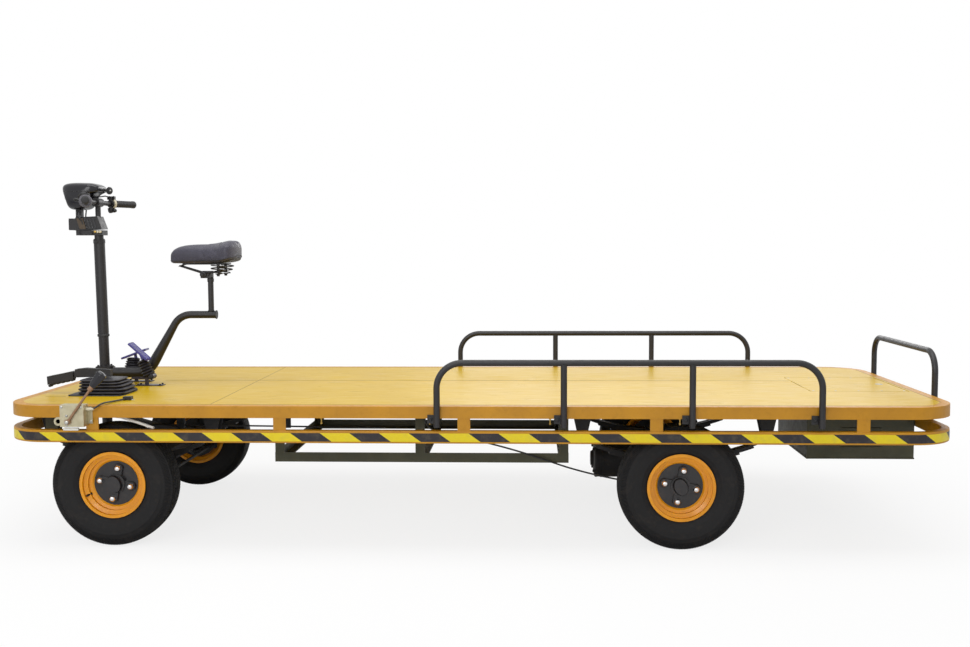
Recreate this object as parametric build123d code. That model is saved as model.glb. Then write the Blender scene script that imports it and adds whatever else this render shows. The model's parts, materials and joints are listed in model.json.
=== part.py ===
from build123d import *
import os
from math import asin, atan2, degrees, hypot, radians, tan

# Electric platform cart with a ride-on steering post, in millimetres.
# +X points to the rear of the cart, +Y to its right side and +Z up.
# The origin lies on the floor under the middle of the load platform.

# Platform
DECK_LENGTH = 3810
DECK_WIDTH = 1400
DECK_TOP = 595
CORNER_RADIUS = 187
SHEET = 3
RIM_HEIGHT = 48
RIM_WALL = 4
RIM_FLANGE = 40
RIM_EDGE_RADIUS = 2.5
SEAM = 0.3
FLOOR_JOINT_X = -1050

# Bumper bar that runs round the cart below the platform
BUMPER_HEIGHT = 50
BUMPER_DEPTH = 30
BUMPER_BOTTOM = 447
BUMPER_EDGE_RADIUS = 4
POST_WIDTH = 50
POST_THICKNESS = 6
SIDE_POST_X = (-1516, -762, -30, 724, 1521)
END_POST_Y = (-362, 362)

# Chassis under the platform
RAIL_Y = 362
RAIL_WIDTH = 50
RAIL_HEIGHT = 50
CROSS_HEIGHT = 45
CROSS_WIDTH = 40
CROSS_X = (-1828, -1655, -1290, -1067, -825, -231, 370, 640, 1035, 1388)

# Wheels and tyres
FRONT_AXLE_X = -1477
REAR_AXLE_X = 835
TYRE_RADIUS = 254
TYRE_HALF_WIDTH = 66
TYRE_WALL = 10
TREAD_HALF_WIDTH = 50
BEAD_RADIUS = 131
WHEEL_RIM_RADIUS = 137
WHEEL_SEAT_RADIUS = 127
WHEEL_WELL_RADIUS = 112
WHEEL_HALF_WIDTH = 52
WHEEL_WALL = 4
WHEEL_Y = 558
DISH_BORE = 92
DISH_FACE = 18
DISC_FACE = 9
STUD_CIRCLE = 128
STUD_COUNT = 4
STUD_TURN = -11
NUT_RADIUS = 11
NUT_HEIGHT = 16
LOBE_WIDTH = 36
LOBE_HEIGHT = 10
HUB_CAP = (72, 56, 14)
HUB_CAP_TURN = 115

# Axles, knuckles and springs
AXLE_Z = TYRE_RADIUS
BEAM_SIZE = 60
KINGPIN_Y = 466
KINGPIN_RADIUS = 11
EYE_RADIUS = 24
EYE_CLEARANCE = 6
LUG_HEIGHT = 18
RUN_GAP = 0.06
SEAT_GAP = 0.3
SPINDLE_RADIUS = 15
SPINDLE_END = 582
HUB_RADIUS = 40
BRAKE_Y = 512
BRAKE_PLATE = 4
BRAKE_RADIUS = 100
STEER_ARM = 100
ARM_HEIGHT = 12
ARM_RADIUS = 14
PITMAN_BOSS_RADIUS = 21
JOINT_PIN_RADIUS = 6
JOINT_PIN_LENGTH = 22
LINK_RADIUS = 7
LINK_EYE_RADIUS = 13
LINK_EYE_HALF = 8
OPEN_PIN_GAP = 0.8
SPRING_WIDTH = 50
LEAF_COUNT = 5
LEAF_THICKNESS = 8
LEAF_STEP = 0.16
SPRING_PLACES = ((FRONT_AXLE_X, 350), (REAR_AXLE_X, 385))
SPRING_RISE = 82
SPRING_PAD = 8
PAD_LENGTH = 100
EYE_OUTER = 17
EYE_BOLT = 8
HANGER_WALL = 6
HANGER_TOP = 80
HANGER_LAP = 20
REAR_TUBE_RADIUS = 30
GEAR_CASE_RADIUS = 95
GEAR_CASE_WIDTH = 130
GEAR_NECK = 70
MOTOR_RADIUS = 85
MOTOR_LENGTH = 260

# Steering post and seat
COLUMN_X = -1740.5
COLUMN_LEAN = 0.9
COLUMN_RADIUS = 24.5
HOUSING_RADIUS = 22.5
SHAFT_RADIUS = 14
COLUMN_JOINT_Z = 829
BAR_Z = 1430
COLUMN_HEAD_Z = BAR_Z - 166
PEDESTAL_SIZE = 70
PEDESTAL_TOP = 670
SEAT_TUBE_Z = 646
SEAT_TUBE_LOW_RADIUS = 23.5
SEAT_TUBE_TOP_RADIUS = 17
SEAT_ARM_Z = 914
SEAT_POST_X = -1236
SEAT_POST_RADIUS = 12.7
HOUSING_LOW = 300
FLANGE_TOP = 676
FLANGE_RADIUS = 37.5
SEAT_LOW_CORNER = (-1537, 0, SEAT_TUBE_Z)
SEAT_HIGH_CORNER = (-1382, 0, SEAT_ARM_Z)
SEAT_ARM_END = (-1214, 0, SEAT_ARM_Z)
SEAT_BEND = 90
SEAT_CLAMP_Z = (1082, 1115)
SADDLE_PLATE_Z = (1144, 1150.7)
SPRING_CORE = 7
# Saddle sections: place along the cart, low and high edge, width, corner radius
SADDLE = (
    (-1418, (1160, 1196), 40, 14),
    (-1400, (1154, 1222), 62, 22),
    (-1360, (1151, 1236), 82, 26),
    (-1270, (1151, 1240), 112, 30),
    (-1190, (1153, 1250), 190, 34),
    (-1120, (1165, 1256), 240, 36),
    (-1089, (1180, 1230), 200, 20),
)

# Handlebar and headlamp
HEAD_PLATE_X = (-1845, -1722)
HEAD_PLATE_Z = (BAR_Z - 150, BAR_Z - 127)
STEM_X = -1752
STEM_RADIUS = 12
STEM_LOW = BAR_Z - 80
BAR_RADIUS = 11
BAR_BEND_Y = 135
BAR_BEND = 60
BAR_END_X = -1692
BAR_END_Y = 280
GRIP_LENGTH = 120
GRIP_RADIUS = 16.5
COLLAR_RADIUS = 24
LEVER_REACH = 50
LEVER_RADIUS = 5
COWL_HALF_WIDTH = 80
COWL_LOW = BAR_Z - 33
COWL_PROFILE = (
    (-1913, COWL_LOW + 91),
    (-1890, COWL_LOW + 113),
    (-1865, COWL_LOW + 123),
    (-1749, COWL_LOW + 118),
    (-1716, COWL_LOW + 104),
    (-1718, COWL_LOW + 81),
    (-1760, COWL_LOW + 69),
    (-1775, COWL_LOW + 40),
    (-1788, COWL_LOW + 8),
    (-1800, COWL_LOW),
    (-1871, COWL_LOW),
)
LENS_SIZE = (112, 62)
LENS_DEPTH = 6

# Pedals, brake lever and shift lever
PEDAL_Y = 75
PEDAL_WIDTH = 58
PEDAL_PLATE = 7
# Pedal pads: side, place of the pivot, low end and high end of the plate
PEDAL_PADS = (
    (-1, -1492, (-1506, 712), (-1592, 789)),
    (1, -1597, (-1685, 703), (-1567, 747)),
)
GAITER_Y = -330
GAITER_TOP = 662
# Boot pleats: middle along the cart, low and high edge, length, width
GAITER = (
    (-1597, (597, 612), 246, 188),
    (-1602, (611, 626), 226, 180),
    (-1606, (625, 640), 210, 172),
    (-1611, (639, 652), 194, 164),
    (-1616, (651, GAITER_TOP), 176, 150),
)
# Brake handle: half width and side view of its lever and of its grip
BRAKE_HANDLE = (
    (14, ((-1735, 698), (-1690, 704), (-1579, 698), (-1579, 668), (-1735, 664))),
    (15, ((-1858, 668), (-1744, 688), (-1742, 656), (-1846, 636), (-1856, 632))),
)
LEVER_BOX_FACE = -DECK_WIDTH / 2 - 45
LEVER_TIP = (-1488, LEVER_BOX_FACE - 5, 680)
KNOB_TOP = (-1450, LEVER_BOX_FACE + 1, 728)
CABLE_RADIUS = 3.5
# Route of the shift lever's cable
LEVER_CABLE = (
    (-1528.7, LEVER_BOX_FACE + 23, 585),
    (-1506, LEVER_BOX_FACE + 23, 585),
    (-1488, LEVER_BOX_FACE + 25, 592),
    (-1477, LEVER_BOX_FACE + 39, 602),
    (-1470, LEVER_BOX_FACE + 69, 604),
    (-1465, LEVER_BOX_FACE + 115, 601),
    (-1450, LEVER_BOX_FACE + 163, 600.5),
    (-1429, LEVER_BOX_FACE + 206, 601),
)
# Route of the cable to the rear brake
CABLE = (
    (-213, -442, 546.7),
    (-211, -442, 508),
    (-200, -442, 472),
    (-160, -442, 450),
    (-60, -442, 430),
    (71, -442, 399),
    (188, -442, 367),
    (292, -442, 333),
    (380, -443, 303),
    (480, -445, 276),
    (592, -448, 253),
    (680, -454, 240),
    (748, -470, 233),
)
ROD_Y = -300

# Hand rails
HAND_TUBE_RADIUS = 12.7
HAND_RAIL_LEG_X = (-135, 362, 860, 1357)
HAND_RAIL_TOP = 768
HAND_RAIL_BEND = 100
HAND_RAIL_FOOT = 514
END_RAIL_LEG_Y = (-345, 445)
END_RAIL_TOP = 774
END_RAIL_BEND = 85

# Battery tray and rear box
TRAY_X = (-846, 391)
TRAY_MID_X = -231
TRAY_HANGER_X = (-825, -231, 370)
TRAY_HALF_WIDTH = 430
TRAY_BOTTOM = 318
ANGLE = 40
ANGLE_WALL = 4
BOX_X = (1415, 1867)
BOX_HALF_WIDTH = 265
BOX_BOTTOM = 307
BOX_WALL = 3
LEDGE = 12
LID_X = (1437, 1848)
LID_HALF_WIDTH = 237
LID_GAP = 5
# Hinge barrels on the lid's front edge
HINGE_AXIS = (1434.7, 594.4)
HINGE_RADIUS = 2.45
HINGE_KNUCKLE_RADIUS = 2
HINGE_PIN_RADIUS = 1.2
HINGE_Y = (-150, 150)
HINGE_HALF = 30
HINGE_KNUCKLE = 20

SHEET_BOTTOM = DECK_TOP - SHEET
RIM_BOTTOM = DECK_TOP - RIM_HEIGHT
BUMPER_TOP = BUMPER_BOTTOM + BUMPER_HEIGHT
RAIL_TOP = SHEET_BOTTOM - CROSS_HEIGHT
RAIL_BOTTOM = RAIL_TOP - RAIL_HEIGHT
HALF_LENGTH = DECK_LENGTH / 2
HALF_WIDTH = DECK_WIDTH / 2
PACK_BOTTOM = AXLE_Z + BEAM_SIZE / 2 + SPRING_PAD + SEAT_GAP
EYE_Z = PACK_BOTTOM + LEAF_COUNT * LEAF_THICKNESS + SPRING_RISE
FORK_HALF = BEAM_SIZE / 2 + SEAT_GAP
ARM_BOTTOM = AXLE_Z - FORK_HALF - LUG_HEIGHT
LINK_Z = ARM_BOTTOM + ARM_HEIGHT + SEAT_GAP + LINK_EYE_HALF
PITMAN_AXIS_X = COLUMN_X + (DECK_TOP - LINK_Z) * tan(radians(COLUMN_LEAN))
PITMAN_END = (PITMAN_AXIS_X - STEER_ARM, 0)


def block(x, y, z):
    """A box between the low and high values of each axis."""
    size = (x[1] - x[0], y[1] - y[0], z[1] - z[0])
    return Pos((x[0] + x[1]) / 2, (y[0] + y[1]) / 2, (z[0] + z[1]) / 2) * Box(*size)


def about(middle, width):
    """Low and high values of a width centred on a place."""
    return (middle - width / 2, middle + width / 2)


def span(side, near, far):
    """Two distances from the middle as low and high values on one side."""
    return tuple(sorted((side * near, side * far)))


def rod(start, end, radius, end_radius=None):
    """A round bar, or a cone, from one point to another."""
    start = Vector(*start)
    axis = Vector(*end) - start
    place = Plane(origin=start, z_dir=axis.normalized()).location
    seat = (Align.CENTER, Align.CENTER, Align.MIN)
    if end_radius is None:
        return place * Cylinder(radius, axis.length, align=seat)
    return place * Cone(radius, end_radius, axis.length, align=seat)


def upright(x, y, z, radius):
    """A vertical round bar between two heights."""
    return rod((x, y, z[0]), (x, y, z[1]), radius)


def across(x, y, z, radius):
    """A round bar along Y between two places."""
    return rod((x, y[0], z), (x, y[1], z), radius)


def bent_tube(points, bend, radius):
    """A round tube along straight runs joined by bends."""
    path = FilletPolyline(*points, radius=bend)
    section = Plane(origin=path @ 0, z_dir=path % 0) * Circle(radius)
    return sweep(section, path=path)


def cable(points, radius):
    """A round cable whose bends are as wide as the runs beside them allow."""
    places = [Vector(*point) for point in points]
    bends = []
    for before, here, after in zip(places, places[1:], places[2:]):
        turn = radians((here - before).get_angle(after - here))
        run = min((here - before).length, (after - here).length)
        bends.append(0.45 * run / tan(turn / 2))
    return bent_tube(points, bends, radius)


def mirrored(shape):
    """The same shape on the other side of the cart."""
    return mirror(shape, about=Plane.XZ)


def both_sides(shape):
    return [shape, mirrored(shape)]


def outline(inset):
    """The platform's plan, drawn in from its edge."""
    return RectangleRounded(
        DECK_LENGTH - 2 * inset, DECK_WIDTH - 2 * inset, CORNER_RADIUS - inset
    )


def ring(outer_inset, inner_inset, z):
    """A band that follows the platform's plan between two heights."""
    face = outline(outer_inset) - outline(inner_inset)
    return Pos(0, 0, z[0]) * extrude(face, amount=z[1] - z[0])


def deck_rim():
    """Bent edge angle: an upright web with a top flange level with the sheets."""
    web = ring(0, RIM_WALL, (RIM_BOTTOM, DECK_TOP))
    flange = ring(0, RIM_FLANGE, (SHEET_BOTTOM, DECK_TOP))
    rim = web + flange
    top = rim.faces().sort_by(Axis.Z)[-1]
    return fillet(top.outer_wire().edges(), RIM_EDGE_RADIUS)


def platform_sheet(x, cuts):
    sheet = Pos(0, 0, SHEET_BOTTOM) * extrude(outline(RIM_FLANGE + SEAM), amount=SHEET)
    keep = block(x, (-DECK_WIDTH, DECK_WIDTH), (SHEET_BOTTOM - 1, DECK_TOP + 1))
    return (sheet & keep) - cuts


def load_deck():
    """Flat sheet for the load, with the opening of the rear box's lid."""
    opening = block(
        (opening_edge(), LID_X[1] + LID_GAP),
        (-LID_HALF_WIDTH - LID_GAP, LID_HALF_WIDTH + LID_GAP),
        (SHEET_BOTTOM - 1, DECK_TOP + 1),
    )
    sheet = platform_sheet((FLOOR_JOINT_X + SEAM, DECK_LENGTH), opening)
    edge, axis_z = HINGE_AXIS
    for y in HINGE_Y:
        for side in (-1, 1):
            reach = span(side, HINGE_HALF + RUN_GAP, HINGE_HALF + HINGE_KNUCKLE)
            place = (y + reach[0], y + reach[1])
            barrel = across(edge, place, axis_z, HINGE_KNUCKLE_RADIUS)
            barrel += block((opening_edge() - 1, edge), place, (axis_z - 1, DECK_TOP))
            sheet += barrel - across(edge, place, axis_z, HINGE_PIN_RADIUS + RUN_GAP)
    return sheet


def opening_edge():
    """Front edge of the lid's opening."""
    return LID_X[0] - LID_GAP


def driver_floor():
    """Front sheet that carries the steering post, with the hole for its housing."""
    hole = upright(COLUMN_X, 0, (SHEET_BOTTOM - 1, DECK_TOP + 1), HOUSING_RADIUS + 2)
    return platform_sheet((-DECK_LENGTH, FLOOR_JOINT_X), hole)


def bumper_frame():
    """Box section bumper bar with the flat posts that hang it from the rim."""
    bar = ring(0, BUMPER_DEPTH, (BUMPER_BOTTOM, BUMPER_TOP))
    edges = bar.faces().sort_by(Axis.Z)[-1].outer_wire().edges()
    edges += bar.faces().sort_by(Axis.Z)[0].outer_wire().edges()
    solids = [fillet(edges, BUMPER_EDGE_RADIUS)]
    post_z = (BUMPER_TOP, SHEET_BOTTOM)
    face = HALF_WIDTH - RIM_WALL
    for x in SIDE_POST_X:
        solids += both_sides(block(about(x, POST_WIDTH), (face - POST_THICKNESS, face), post_z))
    end = HALF_LENGTH - RIM_WALL
    for y in END_POST_Y:
        solids.append(block((end - POST_THICKNESS, end), about(y, POST_WIDTH), post_z))
        solids.append(block((-end, POST_THICKNESS - end), about(y, POST_WIDTH), post_z))
    return Compound(children=solids)


def chassis_rails():
    """Two long box section rails below the cross members."""
    end = HALF_LENGTH - RIM_WALL - POST_THICKNESS - SEAM
    rail = block((-end, end), about(RAIL_Y, RAIL_WIDTH), (RAIL_BOTTOM, RAIL_TOP))
    rail = fillet(rail.edges().filter_by(Axis.X), BUMPER_EDGE_RADIUS)
    return Compound(children=both_sides(rail))


def cross_members():
    """Channels across the cart, open downwards, that carry the sheets."""
    wall = RIM_WALL
    inside = extrude(outline(RIM_WALL + POST_THICKNESS + SEAM), amount=DECK_TOP)
    wide = (-DECK_WIDTH, DECK_WIDTH)
    bars = []
    for x in CROSS_X:
        bar = block(about(x, CROSS_WIDTH), wide, (RAIL_TOP, SHEET_BOTTOM))
        bar -= block(about(x, CROSS_WIDTH - 2 * wall), wide, (RAIL_TOP - 1, SHEET_BOTTOM - wall))
        bars.append(bar & inside)
    return Compound(children=bars)


def leaf(radius, half_angle):
    """One leaf bent round a centre above it, lowest in the middle."""
    reach = 2 * radius
    side = reach * tan(half_angle)
    wedge = Polyline((0, 0), (-side, -reach), (side, -reach), (0, 0))
    face = (Circle(radius + LEAF_THICKNESS) - Circle(radius)) & make_face(wedge)
    return extrude(Plane.XZ * face, amount=SPRING_WIDTH / 2, both=True)


def leaf_spring(x, half_span):
    """Stack of leaves on the axle's pad, each lower one shorter, with rolled eyes."""
    radius = (half_span**2 + SPRING_RISE**2) / (2 * SPRING_RISE)
    half_angle = asin(half_span / radius)
    pack = leaf(radius, half_angle)
    for place in range(1, LEAF_COUNT):
        share = 1 - LEAF_STEP * place
        pack += leaf(radius + place * LEAF_THICKNESS, share * half_angle)
    pack = Pos(x, RAIL_Y, PACK_BOTTOM + LEAF_COUNT * LEAF_THICKNESS + radius) * pack
    for side in (-1, 1):
        eye_x = x + side * half_span
        pack += across(eye_x, about(RAIL_Y, SPRING_WIDTH), EYE_Z, EYE_OUTER)
        pack -= across(eye_x, about(RAIL_Y, 2 * SPRING_WIDTH), EYE_Z, EYE_BOLT + RUN_GAP)
    return pack


def leaf_springs():
    solids = []
    for x, half_span in SPRING_PLACES:
        solids += both_sides(leaf_spring(x, half_span))
    return Compound(children=solids)


def spring_hangers():
    """Bracket pairs under the rails, with a bolt through each spring eye."""
    solids = []
    inner = SPRING_WIDTH / 2 + SEAT_GAP
    for axle, half_span in SPRING_PLACES:
        for x in (axle - half_span, axle + half_span):
            hanger = across(x, about(RAIL_Y, 2 * (inner + HANGER_WALL)), EYE_Z, EYE_BOLT)
            cheek = Polyline(
                (x - HANGER_TOP / 2, RAIL_BOTTOM + HANGER_LAP),
                (x - EYE_OUTER, EYE_Z),
                (x - EYE_OUTER / 2, EYE_Z - EYE_OUTER),
                (x + EYE_OUTER / 2, EYE_Z - EYE_OUTER),
                (x + EYE_OUTER, EYE_Z),
                (x + HANGER_TOP / 2, RAIL_BOTTOM + HANGER_LAP),
                (x - HANGER_TOP / 2, RAIL_BOTTOM + HANGER_LAP),
            )
            plate = extrude(Plane.XZ * make_face(cheek), amount=HANGER_WALL / 2, both=True)
            for face in (-1, 1):
                hanger += Pos(0, RAIL_Y + face * (inner + HANGER_WALL / 2), 0) * plate
            solids += both_sides(hanger)
    return Compound(children=solids)


def front_axle():
    """Square beam with kingpin eyes at its narrowed ends and pads for the springs."""
    half = BEAM_SIZE / 2
    shoulder = KINGPIN_Y - 2 * EYE_RADIUS
    beam = block((-half, half), (-shoulder, shoulder), (-half, half))
    for side in (-1, 1):
        beam += block((-EYE_RADIUS, EYE_RADIUS), span(side, 0, KINGPIN_Y), (-half, half))
        beam += upright(0, side * KINGPIN_Y, (-half, half), EYE_RADIUS)
        beam += spring_pad(side)
        beam -= upright(0, side * KINGPIN_Y, (-BEAM_SIZE, BEAM_SIZE), KINGPIN_RADIUS + RUN_GAP)
    return Pos(FRONT_AXLE_X, 0, AXLE_Z) * beam


def spring_pad(side):
    """Seat on top of an axle drawn round the origin."""
    half = BEAM_SIZE / 2
    reach = (-PAD_LENGTH / 2, PAD_LENGTH / 2)
    return block(reach, about(side * RAIL_Y, SPRING_WIDTH), (half - SPRING_PAD, half + SPRING_PAD))


def gear_case(grow):
    """Round case in the middle of the rear axle with a cone on each side."""
    half = GEAR_CASE_WIDTH / 2
    case = across(0, (-half, half), 0, GEAR_CASE_RADIUS + grow)
    for side in (-1, 1):
        case += rod(
            (0, side * half, 0),
            (0, side * (half + GEAR_NECK), 0),
            GEAR_CASE_RADIUS + grow,
            REAR_TUBE_RADIUS + grow,
        )
    return case


def rear_axle():
    """Axle tube with spring pads, the gear case, brake plates and spindles."""
    tube = across(0, (-BRAKE_Y, BRAKE_Y), 0, REAR_TUBE_RADIUS) + gear_case(0)
    for side in (-1, 1):
        tube += spring_pad(side)
        tube += across(0, span(side, BRAKE_Y - BRAKE_PLATE, BRAKE_Y), 0, BRAKE_RADIUS)
        tube += across(0, span(side, BRAKE_Y, SPINDLE_END), 0, SPINDLE_RADIUS)
    return Pos(REAR_AXLE_X, 0, AXLE_Z) * tube


def drive_motor():
    """The motor as one plain round block on the front of the gear case."""
    near = -GEAR_CASE_RADIUS / 2
    body = rod((near, 0, 0), (near - MOTOR_LENGTH, 0, 0), MOTOR_RADIUS)
    return Pos(REAR_AXLE_X, 0, AXLE_Z) * (body - gear_case(SEAT_GAP))


def knuckle(side, arm_ways):
    """Fork round the beam's eye with its kingpin, brake plate, spindle and arms."""
    low, high = -FORK_HALF - LUG_HEIGHT, FORK_HALF + LUG_HEIGHT
    web_y = KINGPIN_Y + EYE_RADIUS + EYE_CLEARANCE
    body = upright(0, side * KINGPIN_Y, (low, high), KINGPIN_RADIUS)
    for lug in ((low, -FORK_HALF), (FORK_HALF, high)):
        body += upright(0, side * KINGPIN_Y, lug, EYE_RADIUS)
        body += block((-EYE_RADIUS, EYE_RADIUS), span(side, KINGPIN_Y, BRAKE_Y), lug)
    body += block((-EYE_RADIUS, EYE_RADIUS), span(side, web_y, BRAKE_Y), (low, high))
    body += across(0, span(side, BRAKE_Y - BRAKE_PLATE, BRAKE_Y), 0, BRAKE_RADIUS)
    body += across(0, span(side, BRAKE_Y, SPINDLE_END), 0, SPINDLE_RADIUS)
    for way in arm_ways:
        end = (way * STEER_ARM, side * KINGPIN_Y)
        body += steering_arm((0, side * KINGPIN_Y), end, (low, low + ARM_HEIGHT))
        pin_top = low + ARM_HEIGHT + JOINT_PIN_LENGTH
        body += upright(*end, (low, pin_top), JOINT_PIN_RADIUS)
    return Pos(FRONT_AXLE_X, 0, AXLE_Z) * body


def steering_arm(start, end, z):
    """Flat arm with round ends between two upright axes."""
    length = hypot(end[0] - start[0], end[1] - start[1])
    turn = degrees(atan2(end[1] - start[1], end[0] - start[0]))
    face = Pos(length / 2, 0) * SlotCenterToCenter(length, 2 * ARM_RADIUS)
    arm = extrude(face, amount=z[1] - z[0])
    return Pos(start[0], start[1], z[0]) * Rot(0, 0, turn) * arm


def link(start, end, z, start_gap, end_gap):
    """Round steering rod with an eye over the pin at each end."""
    start_eye = (start[0], start[1], z)
    end_eye = (end[0], end[1], z)
    body = rod(start_eye, end_eye, LINK_RADIUS)
    for place in (start, end):
        body += upright(*place, (z - LINK_EYE_HALF, z + LINK_EYE_HALF), LINK_EYE_RADIUS)
    for place, gap in ((start, start_gap), (end, end_gap)):
        body -= upright(*place, (z - BEAM_SIZE, z + BEAM_SIZE), JOINT_PIN_RADIUS + gap)
    return body


def tie_rod():
    x = FRONT_AXLE_X + STEER_ARM
    return link((x, -KINGPIN_Y), (x, KINGPIN_Y), LINK_Z, RUN_GAP, OPEN_PIN_GAP)


def drag_link():
    knuckle_end = (FRONT_AXLE_X - STEER_ARM, -KINGPIN_Y)
    return link(knuckle_end, PITMAN_END, LINK_Z, RUN_GAP, OPEN_PIN_GAP)


def wheel_place(x, side):
    """Maps a wheel drawn round Z, its outer face upwards, to its place."""
    return Pos(x, side * WHEEL_Y, AXLE_Z) * Rot(-side * 90, 0, 0)


def tyre(x, side):
    """Hollow tyre with a rounded wall from bead to tread."""
    section = tyre_section(0) - tyre_section(TYRE_WALL)
    return wheel_place(x, side) * revolve(Plane.XZ * section, axis=Axis.Z)


def tyre_section(inset):
    """Half outline of the tyre, radius to the right and width upwards."""
    bead = WHEEL_HALF_WIDTH - WHEEL_WALL - SEAM - inset
    wide = TYRE_HALF_WIDTH - inset
    tread = TREAD_HALF_WIDTH - inset / 2
    shoulder = TYRE_RADIUS - 6 - inset
    crown = TYRE_RADIUS - inset
    low = BEAD_RADIUS - inset
    edge = WHEEL_RIM_RADIUS + 3
    middle = (edge + TYRE_RADIUS) / 2
    return make_face(
        [
            Line((low, bead), (edge, bead)),
            ThreePointArc((edge, bead), (middle, wide), (shoulder, tread)),
            ThreePointArc((shoulder, tread), (crown, 0), (shoulder, -tread)),
            ThreePointArc((shoulder, -tread), (middle, -wide), (edge, -bead)),
            Line((edge, -bead), (low, -bead)),
            Line((low, -bead), (low, bead)),
        ]
    )


def wheel_rim(x, side):
    """Well base rim with two flanges and the dish that bolts to the hub."""
    lip = WHEEL_HALF_WIDTH
    wall = WHEEL_WALL
    half = [
        (WHEEL_RIM_RADIUS, lip - wall),
        (WHEEL_SEAT_RADIUS + wall / 2, lip - wall),
        (WHEEL_SEAT_RADIUS + wall / 2, lip - 16),
        (WHEEL_WELL_RADIUS + wall / 2, lip - 24),
    ]
    back = [
        (WHEEL_WELL_RADIUS - wall / 2, lip - 22),
        (WHEEL_SEAT_RADIUS - wall / 2, lip - 14),
        (WHEEL_SEAT_RADIUS - wall / 2, lip),
        (WHEEL_RIM_RADIUS, lip),
    ]
    outer = half + [(r, -w) for r, w in reversed(half)]
    inner = [(r, -w) for r, w in reversed(back)] + back
    section = make_face(Polyline(*outer, *inner, outer[0]))
    low = DISC_FACE - wall
    dish = Polyline(
        (WHEEL_WELL_RADIUS, low),
        (WHEEL_WELL_RADIUS, DISH_FACE),
        (DISH_BORE + 6, DISH_FACE - 4),
        (DISH_BORE, DISH_FACE - 10),
        (DISH_BORE, low),
        (WHEEL_WELL_RADIUS, low),
    )
    section += make_face(dish)
    return wheel_place(x, side) * revolve(Plane.XZ * section, axis=Axis.Z)


def wheel_disc(x, side):
    """Hub plate inside the dish with four lobes, an oval cap and the nuts."""
    low, high = DISC_FACE - WHEEL_WALL, DISC_FACE
    disc = upright(0, 0, (low, high), DISH_BORE - SEAM)
    hub_low = BRAKE_Y + SEAT_GAP - WHEEL_Y
    hub_high = high + LOBE_HEIGHT + 6
    disc += upright(0, 0, (hub_low, hub_high), HUB_RADIUS)
    for turn in range(STUD_COUNT):
        place = Rot(0, 0, STUD_TURN + 360 / STUD_COUNT * turn)
        lobe = Pos(STUD_CIRCLE / 4, 0) * SlotCenterToCenter(STUD_CIRCLE / 2, LOBE_WIDTH)
        disc += Pos(0, 0, high) * place * extrude(lobe, amount=LOBE_HEIGHT)
        disc += place * upright(STUD_CIRCLE / 2, 0, (low, high + NUT_HEIGHT), NUT_RADIUS)
    bore = SPINDLE_END + SEAT_GAP - WHEEL_Y
    disc -= upright(0, 0, (hub_low - 1, bore), SPINDLE_RADIUS + RUN_GAP)
    cap = extrude(Ellipse(HUB_CAP[0] / 2, HUB_CAP[1] / 2), amount=HUB_CAP[2], taper=10)
    return wheel_place(x, side) * (disc + Pos(0, 0, hub_high) * Rot(0, 0, HUB_CAP_TURN) * cap)


def leaned(shape):
    """Maps a shape drawn upright round the steering axis, from the deck up."""
    return Pos(COLUMN_X, 0, DECK_TOP) * Rot(0, -COLUMN_LEAN, 0) * shape


def column_housing():
    """Pedestal on the floor with the fixed tube that the steering shaft turns in."""
    low, high = SEAT_GAP, COLUMN_JOINT_Z - DECK_TOP
    half = PEDESTAL_SIZE / 2
    body = upright(0, 0, (HOUSING_LOW - DECK_TOP, high - RUN_GAP), HOUSING_RADIUS)
    body += block((-half, half), (-half, half), (low, PEDESTAL_TOP - DECK_TOP))
    body += upright(0, 0, (PEDESTAL_TOP - DECK_TOP, FLANGE_TOP - DECK_TOP), FLANGE_RADIUS)
    body -= upright(0, 0, (HOUSING_LOW - 2 * DECK_TOP, high + 1), SHAFT_RADIUS + RUN_GAP)
    cut = block((-3 * half, 3 * half), (-3 * half, 3 * half), (-half, low))
    below = upright(0, 0, (-2 * half, 2 * half), HOUSING_RADIUS)
    return leaned(body) - Pos(COLUMN_X, 0, DECK_TOP) * (cut - below)


def steering_column():
    """Turning tube above the housing, its shaft and the arm at the shaft's foot."""
    joint = COLUMN_JOINT_Z - DECK_TOP
    top = COLUMN_HEAD_Z - DECK_TOP
    body = leaned(upright(0, 0, (joint + RUN_GAP, top), COLUMN_RADIUS))
    body += leaned(upright(0, 0, (ARM_BOTTOM - DECK_TOP + 2, joint + 1), SHAFT_RADIUS))
    low = ARM_BOTTOM - SEAT_GAP
    body += upright(PITMAN_AXIS_X, 0, (low, low + 2 * ARM_HEIGHT), PITMAN_BOSS_RADIUS)
    body += steering_arm((PITMAN_AXIS_X, 0), PITMAN_END, (low, low + ARM_HEIGHT))
    body += upright(*PITMAN_END, (low, low + ARM_HEIGHT + JOINT_PIN_LENGTH), JOINT_PIN_RADIUS)
    return body


def head_bracket():
    """Neck, plates and switch box on top of the column, with the bar's stem."""
    neck_z = (COLUMN_HEAD_Z + SEAT_GAP - DECK_TOP, HEAD_PLATE_Z[0] + 1 - DECK_TOP)
    body = leaned(upright(0, 0, neck_z, 20))
    body += block(HEAD_PLATE_X, (-30, 30), HEAD_PLATE_Z)
    low = HEAD_PLATE_Z[1]
    sides = ((-1846, low - 1), (-1722, low + 5), (-1742, low + 61), (-1846, low + 55))
    body += extrude(Plane.XZ * make_face(Polyline(*sides, sides[0])), amount=36, both=True)
    body += block((-1877, -1845), (-32, 32), (low + 1, low + 54))
    body += upright(STEM_X, 0, (STEM_LOW, BAR_Z), STEM_RADIUS)
    body += across(STEM_X, (-30, 30), BAR_Z, STEM_RADIUS + 8)
    body -= across(STEM_X, (-40, 40), BAR_Z, BAR_RADIUS + SEAM)
    body += block((-1851, -1825), (-14, 14), (STEM_LOW, COWL_LOW - SEAM))
    return body


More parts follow.
